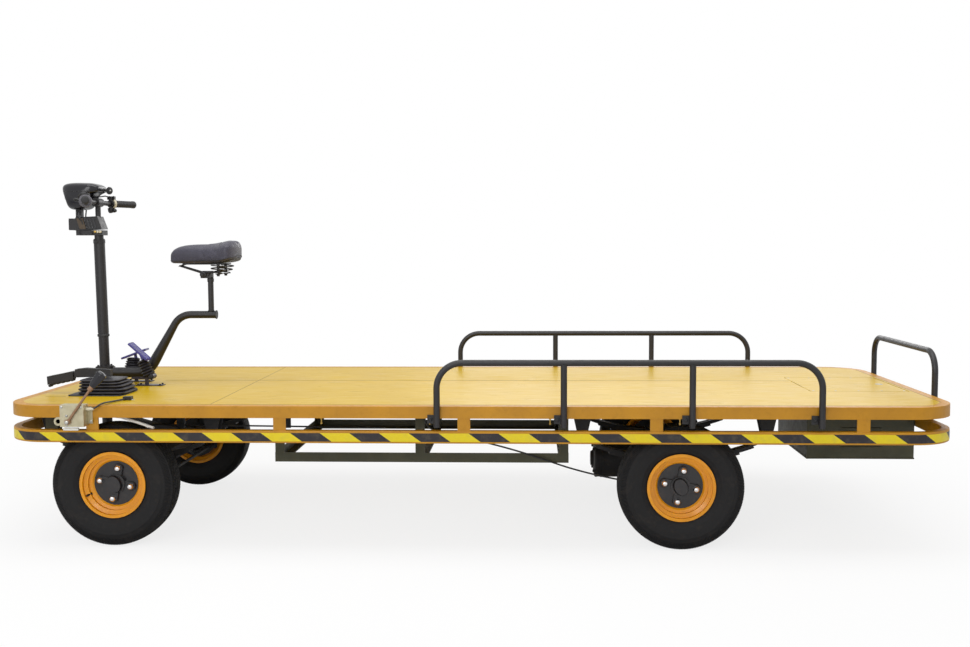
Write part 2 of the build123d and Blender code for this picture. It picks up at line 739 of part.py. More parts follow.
def bar_path():
    """Handlebar centre line, straight in the middle and swept back to the grips."""
    end = (BAR_END_X, BAR_END_Y, BAR_Z)
    bend = (STEM_X, BAR_BEND_Y, BAR_Z)
    return [(x, -y, z) for x, y, z in (end, bend)] + [bend, end]


def handlebar():
    return bent_tube(bar_path(), BAR_BEND, BAR_RADIUS)


def on_bar(side, back):
    """A place on the swept part of the bar, some way back from its end."""
    run = Vector(BAR_END_X - STEM_X, BAR_END_Y - BAR_BEND_Y, 0).normalized()
    place = Vector(BAR_END_X, BAR_END_Y, BAR_Z) - run * back
    return (place.X, side * place.Y, place.Z)


def sleeve(side, back, radius):
    """A ring on the bar between two distances from its end."""
    outer = rod(on_bar(side, back[0]), on_bar(side, back[1]), radius)
    return outer - rod(on_bar(side, back[0] + 60), on_bar(side, -SEAM), BAR_RADIUS + SEAM)


def grips():
    """Hand grips with closed ends."""
    return Compound(children=[sleeve(side, (GRIP_LENGTH, -4), GRIP_RADIUS) for side in (-1, 1)])


def grip_collars():
    """Pale rings between the grips and the lever clamps."""
    span_back = (GRIP_LENGTH + 14, GRIP_LENGTH + 2)
    return Compound(children=[sleeve(side, span_back, COLLAR_RADIUS) for side in (-1, 1)])


def brake_levers():
    """Clamps on the bar with a pivot block and a blade in front of each grip."""
    solids = []
    for side in (-1, 1):
        one = sleeve(side, (GRIP_LENGTH + 34, GRIP_LENGTH + 18), COLLAR_RADIUS - 6)
        x, y, z = on_bar(side, GRIP_LENGTH + 26)
        one += rod((x - 12, y, z), (x - LEVER_REACH, y, z + 8), 8)
        tip = on_bar(side, 10)
        one += rod(
            (x - LEVER_REACH, y, z + 8),
            (tip[0] - LEVER_REACH, tip[1], z + 4),
            LEVER_RADIUS,
        )
        one += upright(x, y, (z + 10, z + 34), 10)
        solids.append(one - bent_tube(bar_path(), BAR_BEND, BAR_RADIUS + SEAM))
    return Compound(children=solids)


def headlamp_cowl():
    """Closed cowl in front of the bar: a side profile rounded in plan."""
    profile = Polyline(*COWL_PROFILE, COWL_PROFILE[0])
    side = extrude(Plane.XZ * make_face(profile), amount=COWL_HALF_WIDTH, both=True)
    low_x, high_x = -1913, -1716
    plan = RectangleRounded(high_x - low_x, 2 * COWL_HALF_WIDTH, 34)
    return side & (Pos((low_x + high_x) / 2, 0, COWL_LOW - 1) * extrude(plan, amount=200))


def headlamp_lens():
    """Rounded lens on the sloping front of the cowl."""
    top, low = COWL_PROFILE[0], COWL_PROFILE[-1]
    slope = Vector(top[0] - low[0], 0, top[1] - low[1]).normalized()
    out = Vector(-slope.Z, 0, slope.X)
    middle = Vector((top[0] + low[0]) / 2, 0, (top[1] + low[1]) / 2) + out * SEAM
    face = Plane(origin=middle, x_dir=(0, 1, 0), z_dir=out)
    return face.location * extrude(RectangleRounded(*LENS_SIZE, 20), amount=LENS_DEPTH)


def seat_tube():
    """Bent tube from the pedestal up to the seat, narrowed on its slope."""
    start = (COLUMN_X + PEDESTAL_SIZE / 2, 0, SEAT_TUBE_Z)
    low, high = Vector(*SEAT_LOW_CORNER), Vector(*SEAT_HIGH_CORNER)
    slope = (high - low).normalized()
    thick, thin = low + slope * 75, high - slope * 55
    body = bent_tube([start, SEAT_LOW_CORNER, tuple(thick)], SEAT_BEND, SEAT_TUBE_LOW_RADIUS)
    body += rod(thick, thin, SEAT_TUBE_LOW_RADIUS, SEAT_TUBE_TOP_RADIUS)
    arm = [tuple(thin), SEAT_HIGH_CORNER, SEAT_ARM_END]
    body += bent_tube(arm, SEAT_BEND, SEAT_TUBE_TOP_RADIUS)
    cap = SEAT_ARM_END[0]
    return body + rod((cap, 0, SEAT_ARM_Z), (cap + 4, 0, SEAT_ARM_Z), SEAT_TUBE_TOP_RADIUS + 3)


def seat_post():
    """Post on the seat arm with its clamp, the saddle's rails and spring bolts."""
    post = upright(SEAT_POST_X, 0, (SEAT_ARM_Z, SEAT_CLAMP_Z[0] + 5), SEAT_POST_RADIUS)
    arm = rod(SEAT_HIGH_CORNER, SEAT_ARM_END, SEAT_TUBE_TOP_RADIUS + SEAT_GAP)
    body = post - arm
    body += block((-1275, -1229), (-24, 24), SEAT_CLAMP_Z)
    for side in (-1, 1):
        y = side * 20
        body += rod((-1376, y / 2, 1139), (-1262, y, 1104), 4)
        body += rod((-1262, y, 1104), (-1186, 3 * y, 1112), 4)
        body += upright(-1182, 3 * y, (1106, SADDLE_PLATE_Z[0] + 1), SPRING_CORE)
    low, high = SADDLE_PLATE_Z
    nose = (-1380, 1135)
    frame = Polyline(nose, (-1350, low), (-1150, low), (-1150, high - 1), (-1352, high - 1), nose)
    body += extrude(Plane.XZ * make_face(frame), amount=22, both=True)
    body += block((-1356, -1280), (-30, 30), (high - 3, high))
    return body + block((-1204, -1160), (-74, 74), (low, high - 1))


def rounded_section(x, z, width, radius):
    """A rounded rectangle across the cart at one place along it."""
    face = RectangleRounded(width, z[1] - z[0], radius)
    place = Plane(origin=(x, 0, (z[0] + z[1]) / 2), x_dir=(0, 1, 0), z_dir=(1, 0, 0))
    return place * face


def saddle():
    """Wide saddle lofted through a few sections from its nose to its tail."""
    sections = [rounded_section(x, z, width, radius) for x, z, width, radius in SADDLE]
    return loft(sections, ruled=True)


def pedals():
    """Two foot pedals, each a plate on a post with a toe arm above."""
    solids = []
    for side, pivot, low_end, high_end in PEDAL_PADS:
        y = side * PEDAL_Y
        one = block((pivot - 73, pivot + 52), about(y, 46), (DECK_TOP + SEAT_GAP, DECK_TOP + 4))
        one += upright(pivot - 26, y, (DECK_TOP + 3, 640), 9)
        one += across(pivot, about(y, 40), 638, 13)
        one += block((pivot - 95, pivot), about(y, 14), (624, 634))
        run = Vector(high_end[0] - low_end[0], 0, high_end[1] - low_end[1])
        slope = run.normalized()
        middle = ((low_end[0] + high_end[0]) / 2, y, (low_end[1] + high_end[1]) / 2)
        pad = Plane(origin=middle, x_dir=slope, z_dir=slope.cross(Vector(0, 1, 0))).location
        face = RectangleRounded(run.length, PEDAL_WIDTH, 8)
        one += pad * extrude(face, amount=PEDAL_PLATE / 2, both=True)
        one += rod((pivot - 11, y, 638), middle, 7)
        solids.append(one)
    return Compound(children=solids)


def gaiter():
    """Square boot round the brake lever's foot, wider towards its flange."""
    flange = extrude(RectangleRounded(312, 214, 12), amount=3)
    boot = Pos(-1578, GAITER_Y, DECK_TOP + SEAT_GAP) * flange
    for x, z, length, width in GAITER:
        pleat = extrude(RectangleRounded(length, width, 22), amount=z[1] - z[0])
        boot += Pos(x, GAITER_Y, z[0]) * pleat
    return boot


def parking_brake_handle():
    """Lever that lies over the boot, with a grip at its front end."""
    body = upright(-1640, 0, (GAITER_TOP + SEAT_GAP, 680), 12)
    body += block((-1746, -1730), (-8, 8), (672, 688))
    for half_width, side_view in BRAKE_HANDLE:
        face = make_face(Polyline(*side_view, side_view[0]))
        body += extrude(Plane.XZ * face, amount=half_width, both=True)
    return Pos(0, GAITER_Y, 0) * body


def lever_box():
    """Box on the outside of the rim with two bolting ears."""
    face = -HALF_WIDTH - SEAT_GAP
    body = block((-1642, -1511), (face - 3, face), (524, 592))
    body += block((-1625, -1529), (LEVER_BOX_FACE, face), (517, 604))
    return body


def shift_lever():
    """Rod on the near face of the lever box with a tapered knob."""
    y = LEVER_BOX_FACE - SEAT_GAP
    body = across(-1592, (y - 12, y), 537, 11)
    body += rod((-1592, y - 7, 537), LEVER_TIP, 5)
    low, high = Vector(*LEVER_TIP), Vector(*KNOB_TOP)
    return body + rod(low - (high - low) * 0.3, high, 9, 16)


def lever_cable():
    """Cable from the lever box over the rim to a clip on the floor."""
    x, y, _ = LEVER_CABLE[-1]
    clip = block(about(x, 34), about(y, 26), (DECK_TOP + SEAT_GAP, 610))
    return cable(LEVER_CABLE, CABLE_RADIUS) + clip


def brake_cables():
    """Cable from a cross member along the near side to the rear brake, and the rods."""
    end = CABLE[-1]
    plate = BRAKE_PLATE - BRAKE_Y
    gland = block(about(end[0], 30), (plate + SEAT_GAP, end[1] + 6), about(end[2], 24))
    rods = rod((-1427, ROD_Y, 453), (-397, ROD_Y, 442), CABLE_RADIUS)
    for x in (CROSS_X[2], CROSS_X[4]):
        rods += block(about(x, CROSS_WIDTH - 4), about(ROD_Y, 8), (440, RAIL_TOP - SEAT_GAP))
    return Compound(children=[cable(CABLE, CABLE_RADIUS) + gland, rods])


def hand_rail(legs, top, bend, foot):
    """Straight tubes and two bends in the XZ plane, with uprights in between."""
    radius = HAND_TUBE_RADIUS
    first, last = legs[0], legs[-1]
    low = top - bend
    top_tube = rod((first + bend + RUN_GAP, 0, top), (last - bend - RUN_GAP, 0, top), radius)
    tubes = [top_tube]
    for x, way in ((first, 1), (last, -1)):
        tubes.append(upright(x, 0, (foot, low - RUN_GAP), radius))
        start, end = Vector(x, 0, low), Vector(x + way * bend, 0, top)
        arc = TangentArc(start, end, tangent=(0, 0, 1))
        tubes.append(sweep(Plane(origin=start, z_dir=(0, 0, 1)) * Circle(radius), path=arc))
    for x in legs[1:-1]:
        leg = upright(x, 0, (foot, top - radius / 2), radius)
        tubes.append(leg - rod((first, 0, top), (last, 0, top), radius + RUN_GAP))
    return tubes


def side_rail(side):
    """Rail along one side with a fixing ear at the foot of each leg."""
    y = HALF_WIDTH + HAND_TUBE_RADIUS + SEAT_GAP
    tubes = hand_rail(HAND_RAIL_LEG_X, HAND_RAIL_TOP, HAND_RAIL_BEND, HAND_RAIL_FOOT)
    solids = [Pos(0, side * y, 0) * tube for tube in tubes]
    face = span(side, HALF_WIDTH + SEAT_GAP, HALF_WIDTH + SEAT_GAP + 5)
    for x in HAND_RAIL_LEG_X:
        ear = block((x - 38, x), face, (528, 562))
        solids.append(ear - upright(x, side * y, (500, 600), HAND_TUBE_RADIUS + RUN_GAP))
    return Compound(children=solids)


def end_rail():
    """Rail across the rear end of the platform."""
    x = HALF_LENGTH + HAND_TUBE_RADIUS + SEAT_GAP
    tubes = hand_rail(END_RAIL_LEG_Y, END_RAIL_TOP, END_RAIL_BEND, HAND_RAIL_FOOT)
    return Compound(children=[Pos(x, 0, 0) * Rot(0, 0, 90) * tube for tube in tubes])


def battery_tray():
    """Open frame of angle bars hung below the cross members."""
    low, high = TRAY_BOTTOM, TRAY_BOTTOM + ANGLE
    half = TRAY_HALF_WIDTH
    frame = block(TRAY_X, (-half, half), (low, high))
    wall = ANGLE_WALL
    inside_x = (TRAY_X[0] + wall, TRAY_X[1] - wall)
    frame -= block(inside_x, (wall - half, half - wall), (low + wall, high + 1))
    ledge_x = (TRAY_X[0] + ANGLE, TRAY_X[1] - ANGLE)
    frame -= block(ledge_x, (ANGLE - half, half - ANGLE), (low - 1, high))
    frame += block(about(TRAY_MID_X, ANGLE), (-half, half), (low, low + wall))
    for x in TRAY_HANGER_X:
        height = (low, RAIL_TOP - SEAT_GAP)
        strip = block(about(x, ANGLE), (half - wall, half), height)
        edge = x - ANGLE / 2
        strip += block((edge, edge + wall), (half - ANGLE, half), height)
        frame += both_sides(strip)
    return frame


def rear_box():
    """Box under the rear of the platform, its ledge just below the lid."""
    top = SHEET_BOTTOM - SEAT_GAP
    half = BOX_HALF_WIDTH
    wall = BOX_WALL
    box = block(BOX_X, (-half, half), (BOX_BOTTOM, top))
    inside_x = (BOX_X[0] + wall, BOX_X[1] - wall)
    box -= block(inside_x, (wall - half, half - wall), (BOX_BOTTOM + wall, top - wall))
    mouth_x = (LID_X[0] + LEDGE, LID_X[1] - LEDGE)
    reach = LID_HALF_WIDTH - LEDGE
    return box - block(mouth_x, (-reach, reach), (top - 2 * wall, top + 1))


def hatch_lid():
    """Flat lid level with the platform, over the rear box."""
    lid = block(LID_X, (-LID_HALF_WIDTH, LID_HALF_WIDTH), (SHEET_BOTTOM, DECK_TOP))
    x, z = HINGE_AXIS
    for y in HINGE_Y:
        lid += across(x, about(y, 2 * HINGE_HALF), z, HINGE_RADIUS)
        lid += across(x, about(y, 2 * (HINGE_HALF + HINGE_KNUCKLE)), z, HINGE_PIN_RADIUS)
    return lid


NODES = {
    "deck_rim": deck_rim(),
    "load_deck": load_deck(),
    "driver_floor": driver_floor(),
    "bumper_frame": bumper_frame(),
    "chassis_rails": chassis_rails(),
    "cross_members": cross_members(),
    "leaf_springs": leaf_springs(),
    "spring_hangers": spring_hangers(),
    "front_axle": front_axle(),
    "rear_axle": rear_axle(),
    "drive_motor": drive_motor(),
    "battery_tray": battery_tray(),
    "rear_box": rear_box(),
    "hatch_lid": hatch_lid(),
    "side_rail_left": side_rail(-1),
    "side_rail_right": side_rail(1),
    "end_rail": end_rail(),
    "column_housing": column_housing(),
    "steering_column": steering_column(),
    "head_bracket": head_bracket(),
    "handlebar": handlebar(),
    "grips": grips(),
    "grip_collars": grip_collars(),
    "brake_levers": brake_levers(),
    "headlamp_cowl": headlamp_cowl(),
    "headlamp_lens": headlamp_lens(),
    "seat_tube": seat_tube(),
    "seat_post": seat_post(),
    "saddle": saddle(),
    "pedals": pedals(),
    "gaiter": gaiter(),
    "parking_brake_handle": parking_brake_handle(),
    "lever_box": lever_box(),
    "shift_lever": shift_lever(),
    "lever_cable": lever_cable(),
    "brake_cables": brake_cables(),
    "knuckle_left": knuckle(-1, (-1, 1)),
    "knuckle_right": knuckle(1, (1,)),
    "tie_rod": tie_rod(),
    "drag_link": drag_link(),
}

# Axle place, side of the cart
WHEELS = {
    "front_left": (FRONT_AXLE_X, -1),
    "front_right": (FRONT_AXLE_X, 1),
    "rear_left": (REAR_AXLE_X, -1),
    "rear_right": (REAR_AXLE_X, 1),
}
for place, (x, side) in WHEELS.items():
    NODES[f"tyre_{place}"] = tyre(x, side)
    NODES[f"rim_{place}"] = wheel_rim(x, side)
    NODES[f"disc_{place}"] = wheel_disc(x, side)

os.makedirs("parts", exist_ok=True)
for node, shape in NODES.items():
    export_step(shape, f"parts/{node}.step")
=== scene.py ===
# %% [markdown]
# # An electric platform cart, from bare solids to a finished picture
#
# The cart's exact solids come from its drawing: platform, bumper, axles, wheels, steering post, seat and rails.
# This lesson gives each of them the finish that the real piece has, and adds the small things that a drawing
# leaves out, such as tyre tread, nuts, stitching, pleats and stripes. All sizes below are written in millimetres
# and turned to metres in one place, because that is how such a cart is measured.

# %% Load the cart's solids
import json
from math import cos, exp, pi, radians, sin, sqrt

import bpy
from mathutils import Matrix, Vector, noise
from mathutils.bvhtree import BVHTree


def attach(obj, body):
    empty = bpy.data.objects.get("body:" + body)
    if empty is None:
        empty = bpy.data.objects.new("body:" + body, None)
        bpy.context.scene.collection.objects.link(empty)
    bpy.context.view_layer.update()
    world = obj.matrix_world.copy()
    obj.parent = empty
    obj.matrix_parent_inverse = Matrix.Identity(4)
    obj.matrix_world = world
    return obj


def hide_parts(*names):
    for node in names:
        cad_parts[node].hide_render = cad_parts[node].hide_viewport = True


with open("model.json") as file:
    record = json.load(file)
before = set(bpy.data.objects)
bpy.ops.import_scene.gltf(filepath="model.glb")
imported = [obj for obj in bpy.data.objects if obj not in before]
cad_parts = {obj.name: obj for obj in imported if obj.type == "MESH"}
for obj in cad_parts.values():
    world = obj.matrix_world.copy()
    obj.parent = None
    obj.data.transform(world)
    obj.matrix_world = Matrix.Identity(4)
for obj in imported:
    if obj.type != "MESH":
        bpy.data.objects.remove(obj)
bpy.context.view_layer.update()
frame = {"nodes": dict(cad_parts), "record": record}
nodes = frame["nodes"]

# %% [markdown]
# ## The camera
#
# The picture was taken with a normal lens from the cart's left, level with the saddle. A camera is placed by a
# matrix whose columns are its own right, up and backward directions, so its small tilt and roll are kept exactly.

# %% Camera
PICTURE_WIDTH, FOCAL_PIXELS, SENSOR = 970, 1065.28, 36
YAW, PITCH, ROLL = -0.04323, 0.07188, -0.00429

level = Vector((sin(YAW), cos(YAW), 0))
right = Vector((cos(YAW), -sin(YAW), 0))
ahead = level * cos(PITCH) - Vector((0, 0, sin(PITCH)))
above = level * sin(PITCH) + Vector((0, 0, cos(PITCH)))
camera_right = right * cos(ROLL) + above * sin(ROLL)
camera_up = above * cos(ROLL) - right * sin(ROLL)

camera = bpy.data.objects.new("side_camera", bpy.data.cameras.new("side_camera"))
bpy.context.scene.collection.objects.link(camera)
camera.data.sensor_width = SENSOR
camera.data.lens = SENSOR * FOCAL_PIXELS / PICTURE_WIDTH
turn = Matrix((camera_right, camera_up, -ahead)).transposed().to_4x4()
camera.matrix_world = Matrix.Translation((0.2344, -4.838, 1.21985)) @ turn
bpy.context.scene.camera = camera
print("lens", round(camera.data.lens, 2), "mm")

# %% [markdown]
# ## Colours and nodes
#
# Colours are read off as sRGB hex values, but Blender mixes light in linear values, so one function converts
# them. A second one adds a node with its settings and its links, which keeps every finish below to a few lines.

# %% Colour and node helpers


def paint_chart(code):
    """An sRGB hex colour as the linear values that light is mixed in."""
    parts = [int(code[i:i + 2], 16) / 255 for i in (1, 3, 5)]
    linear = [c / 12.92 if c <= 0.04045 else ((c + 0.055) / 1.055) ** 2.4 for c in parts]
    return (*linear, 1.0)


def add(tree, kind, values=None, links=None, **settings):
    """A node with its settings, its socket values and what feeds it: a socket, or a node's first output."""
    node = tree.nodes.new("ShaderNode" + kind)
    for name, value in settings.items():
        setattr(node, name, value)
    for name, value in (values or {}).items():
        node.inputs[name].default_value = value
    for name, source in (links or {}).items():
        tree.links.new(source.outputs[0] if hasattr(source, "outputs") else source, node.inputs[name])
    return node


def stand(name, data):
    """A named object in the scene."""
    made = bpy.data.objects.new(name, data)
    bpy.context.scene.collection.objects.link(made)
    return made


def new_finish(name):
    """An empty material, its node tree and the place on the object."""
    finish = bpy.data.materials.new(name)
    finish.use_nodes = True
    finish.node_tree.nodes.clear()
    place = add(finish.node_tree, "TexCoord").outputs["Object"]
    return finish, finish.node_tree, place


def per_metre(size_mm):
    """Texture scale at which one pattern cell is this many millimetres wide."""
    return 1000 / size_mm


def dusted(tree, dark, light, drift, dirt, dust, low, high, share):
    """A colour between two tones, with dirt over it where the dust noise is high."""
    tone = add(tree, "Mix", {6: paint_chart(dark), 7: paint_chart(light)}, {0: drift}, data_type="RGBA")
    settled = add(tree, "MapRange", {"From Min": low, "From Max": high, "To Max": share}, {"Value": dust})
    colour = add(tree, "Mix", {7: paint_chart(dirt)}, {0: settled, 6: tone.outputs[2]}, data_type="RGBA")
    return colour.outputs[2]


print("helpers ready")

# %% [markdown]
# ## Floor, studio and lamps
#
# The cart stands on a pale studio floor that runs to white. The floor is painted nearly white and shows a part
# of its own colour straight to the camera. That part grows with the distance from the cart, so the soft shadow
# stays while the edge of the floor disappears.
# Three large softboxes light the cart: one overhead, one on the camera's side and a weaker one behind.

# %% Floor and studio
NEAR_SHARE = 0.8
floor_finish, tree, place = new_finish("studio_floor_paint")
cloud = add(tree, "TexNoise", {"Scale": 0.7, "Detail": 3.0}, {"Vector": place})
shade = add(tree, "Mix", {6: paint_chart("#efefef"), 7: paint_chart("#f6f6f6")}, {0: cloud}, data_type="RGBA")
matt = add(tree, "BsdfDiffuse", {"Roughness": 0.5}, {"Color": shade.outputs[2]})
lit = add(tree, "Emission", {"Color": (1, 1, 1, 1), "Strength": 1.0})
eye = add(tree, "LightPath")
away = add(tree, "VectorMath", None, {0: place}, operation="LENGTH")
whiter = add(tree, "MapRange", {"From Min": 1.6, "From Max": 3.6, "To Min": NEAR_SHARE, "To Max": 1.0},
             {"Value": away.outputs["Value"]})
share = add(tree, "Math", None, {0: eye.outputs["Is Camera Ray"], 1: whiter}, operation="MULTIPLY")
both = add(tree, "MixShader", None, {0: share, 1: matt, 2: lit})
add(tree, "OutputMaterial", None, {"Surface": both})

floor_mesh = bpy.data.meshes.new("studio_floor")
floor_mesh.from_pydata([(-16, -14, 0), (16, -14, 0), (16, 30, 0), (-16, 30, 0)], [], [(0, 1, 2, 3)])
floor_mesh.materials.append(floor_finish)
floor = stand("studio_floor", floor_mesh)

studio = bpy.data.worlds.new("pale_studio")
bpy.context.scene.world = studio
studio.use_nodes = True
tree = studio.node_tree
tree.nodes.clear()
eye = add(tree, "LightPath")
seen = add(tree, "Math", None, {0: eye.outputs["Is Camera Ray"], 1: eye.outputs["Is Glossy Ray"]},
           operation="MAXIMUM")
seen = add(tree, "Math", None, {0: seen, 1: eye.outputs["Is Transmission Ray"]}, operation="MAXIMUM")
dim = add(tree, "Background", {"Color": (1, 1, 1, 1), "Strength": 0.5})
white = add(tree, "Background", {"Color": (1, 1, 1, 1), "Strength": 1.0})
both = add(tree, "MixShader", None, {0: seen, 1: dim, 2: white})
add(tree, "OutputWorld", None, {"Surface": both})
bpy.context.scene.view_settings.view_transform = "Standard"

# Softboxes: name, place, aimed at, width, height, watts
SOFTBOXES = (
    ("overhead_softbox", (0, -0.6, 4.2), (0, 0, 0.4), 5.5, 2.6, 115),
    ("front_softbox", (-1.5, -5.5, 2.6), (0, 0, 0.4), 4.0, 1.8, 85),
    ("rear_softbox", (1.5, 5.0, 2.8), (0, 0, 0.5), 4.5, 1.6, 60),
)
for name, place, aim, width, height, watts in SOFTBOXES:
    lamp = bpy.data.lights.new(name, "AREA")
    lamp.shape = "RECTANGLE"
    lamp.size, lamp.size_y, lamp.energy = width, height, watts
    softbox = stand(name, lamp)
    softbox.location = place
    softbox.rotation_euler = (Vector(aim) - Vector(place)).to_track_quat("-Z", "Y").to_euler()
print(len(SOFTBOXES), "softboxes")

# %% [markdown]
# ## Sprayed and baked paint on steel
#
# Most of the cart is welded steel with sprayed paint. Sprayed paint is never one colour: it varies a little over
# a hand's width, has dust settled in it, and its skin has a fine ripple called orange peel. One function draws all
# three, and each painted part asks for its own colours, gloss and amount of dirt. Paint is a dielectric, so its
# IOR stays near 1.5 and it isn't metallic.

# %% Sprayed steel


def sprayed_steel(name, light, dark, gloss, dirt, soiled, peel_mm=6.0, coat=0.0, dark_below_height=0.0):
    """Paint whose tone drifts, with settled dirt and a rippled skin. Below a given height it turns dark brown-black.
    """
    finish, tree, place = new_finish(name)
    drift = add(tree, "TexNoise", {"Scale": per_metre(140), "Detail": 4.0}, {"Vector": place})
    drift = add(tree, "MapRange", {"From Min": 0.32, "From Max": 0.68}, {"Value": drift})
    dust = add(tree, "TexNoise", {"Scale": per_metre(22), "Detail": 7.0, "Roughness": 0.65}, {"Vector": place})
    colour = dusted(tree, dark, light, drift, dirt, dust, 0.52, 0.78, soiled)
    # Below the given height the colour turns dark brown-black.
    if dark_below_height:
        height = add(tree, "SeparateXYZ", None, {0: place})
        lower_dark_share = add(tree, "MapRange",
                    {"From Min": dark_below_height - 0.03, "From Max": dark_below_height + 0.03, "To Min": 0.92, "To Max": 0.0},
                    {"Value": height.outputs[2]})
        colour = add(tree, "Mix", {7: paint_chart("#2a2623")}, {0: lower_dark_share, 6: colour}, data_type="RGBA").outputs[2]
    worn = add(tree, "MapRange",
               {"From Min": 0.35, "From Max": 0.75, "To Min": gloss, "To Max": min(gloss + 0.22, 1)},
               {"Value": dust})
    peel = add(tree, "TexNoise", {"Scale": per_metre(peel_mm), "Detail": 2.0}, {"Vector": place})
    skin = add(tree, "Bump", {"Strength": 0.25, "Distance": 0.0003}, {"Height": peel})
    shader = add(tree, "BsdfPrincipled", {"IOR": 1.5, "Coat Weight": coat, "Coat Roughness": 0.12},
                 {"Base Color": colour, "Roughness": worn, "Normal": skin})
    add(tree, "OutputMaterial", None, {"Surface": shader})
    return finish


amber_paint = sprayed_steel("amber_sprayed_steel", "#c28806", "#b27b04", 0.38, "#5a3a10", 0.2)
chassis_paint = sprayed_steel("black_chassis_paint", "#1d1d20", "#121214", 0.55, "#4b453c", 0.45)
olive_paint = sprayed_steel("olive_sprayed_steel", "#47462f", "#35351f", 0.45, "#5b5038", 0.3)
tube_powder = sprayed_steel("black_powder_coat", "#201e21", "#141315", 0.36, "#4a4440", 0.2, 3.0)
orange_enamel = sprayed_steel("orange_baked_enamel", "#f2a202", "#e59401", 0.26, "#7a4608", 0.16, 5.0, 0.15)
hub_paint = sprayed_steel("black_hub_enamel", "#1b171b", "#0e0c0e", 0.3, "#4c4238", 0.35, 4.0, 0.3)
# The pedals turn dark brown-black below 0.68 m, at their feet and brackets.
pedal_paint = sprayed_steel("blue_pedal_paint", "#5a54a8", "#3d3972", 0.3, "#2a2a30", 0.5, dark_below_height=0.68)
print("paints", [m.name for m in bpy.data.materials if m.name != "studio_floor_paint"])

# %% [markdown]
# ## The platform's yellow enamel
#
# The sheets carry a thick, glossy yellow enamel that was laid on in long strokes, so the room's reflection runs
# in streaks along the cart and turns cream at a low angle. A noise stretched along the cart draws the strokes in
# the roughness and in a shallow bump. The strokes are about 8 mm wide here, coarser than a brush's hairs, because
# hairs are finer than a pixel of the picture.

# %% Deck enamel
deck_enamel, tree, place = new_finish("yellow_deck_enamel")
along = add(tree, "Mapping", {"Scale": (0.06, 1.0, 1.0)}, {"Vector": place})
strokes = add(tree, "TexNoise", {"Scale": per_metre(9), "Detail": 5.0}, {"Vector": along})
patches = add(tree, "TexNoise", {"Scale": per_metre(320), "Detail": 3.0}, {"Vector": place})
scuffs = add(tree, "TexNoise", {"Scale": per_metre(30), "Detail": 8.0, "Roughness": 0.7}, {"Vector": place})
colour = dusted(tree, "#bf9a03", "#d0ac0a", patches, "#a88a3a", scuffs, 0.56, 0.8, 0.35)
dulled = add(tree, "MapRange", {"From Min": 0.3, "From Max": 0.7, "To Min": 0.26, "To Max": 0.5},
             {"Value": strokes})
laid = add(tree, "Bump", {"Strength": 0.3, "Distance": 0.0006}, {"Height": strokes})
shader = add(tree, "BsdfPrincipled", {"IOR": 1.26},
             {"Base Color": colour, "Roughness": dulled, "Normal": laid})
add(tree, "OutputMaterial", None, {"Surface": shader})
print(deck_enamel.name)

# %% [markdown]
# ## Rubber, plastic, leatherette and bright metal
#
# Rubber and moulded plastic have no metal in them and scatter light in a wide, weak highlight. One function makes
# them from a colour pair, a roughness and the size of their grain: the saddle's leatherette has grain about 1.5 mm
# wide, the grips and boots are smoother. Zinc, chrome and brass are metals: their colour is in the reflection and
# their roughness comes from the plating bath and from handling.

# %% Moulded and plated finishes


def moulded(name, light, dark, gloss, grain_mm, grain_depth=0.3, dusty="#6a665e", dust_share=0.25, sheen=0.0):
    """Rubber or plastic with its grain, handling marks and a little dust."""
    finish, tree, place = new_finish(name)
    marks = add(tree, "TexNoise", {"Scale": per_metre(35), "Detail": 6.0, "Roughness": 0.6}, {"Vector": place})
    colour = dusted(tree, dark, light, marks, dusty, marks, 0.5, 0.8, dust_share)
    handled = add(tree, "MapRange",
                  {"From Min": 0.3, "From Max": 0.7, "To Min": gloss, "To Max": min(1, gloss + 0.18)},
                  {"Value": marks})
    grain = add(tree, "TexVoronoi", {"Scale": per_metre(grain_mm)}, {"Vector": place})
    skin = add(tree, "Bump", {"Strength": grain_depth, "Distance": 0.0004},
               {"Height": grain.outputs["Distance"]})
    shader = add(tree, "BsdfPrincipled", {"IOR": 1.5, "Sheen Weight": sheen, "Sheen Roughness": 0.5},
                 {"Base Color": colour, "Roughness": handled, "Normal": skin})
    add(tree, "OutputMaterial", None, {"Surface": shader})
    return finish


def plated(name, light, dark, gloss):
    """Plated or bare metal with fine streaks and stains."""
    finish, tree, place = new_finish(name)
    along = add(tree, "Mapping", {"Scale": (1.0, 1.0, 0.15)}, {"Vector": place})
    streaks = add(tree, "TexNoise", {"Scale": per_metre(4), "Detail": 5.0}, {"Vector": along})
    stains = add(tree, "TexNoise", {"Scale": per_metre(28), "Detail": 5.0}, {"Vector": place})
    colour = add(tree, "Mix", {6: paint_chart(dark), 7: paint_chart(light)}, {0: stains}, data_type="RGBA")
    handled = add(tree, "MapRange", {"From Min": 0.3, "From Max": 0.7, "To Min": gloss, "To Max": gloss + 0.2},
                  {"Value": streaks})
    skin = add(tree, "Bump", {"Strength": 0.12, "Distance": 0.0002}, {"Height": streaks})
    shader = add(tree, "BsdfPrincipled", {"Metallic": 1.0},
                 {"Base Color": colour.outputs[2], "Roughness": handled, "Normal": skin})
    add(tree, "OutputMaterial", None, {"Surface": shader})
    return finish


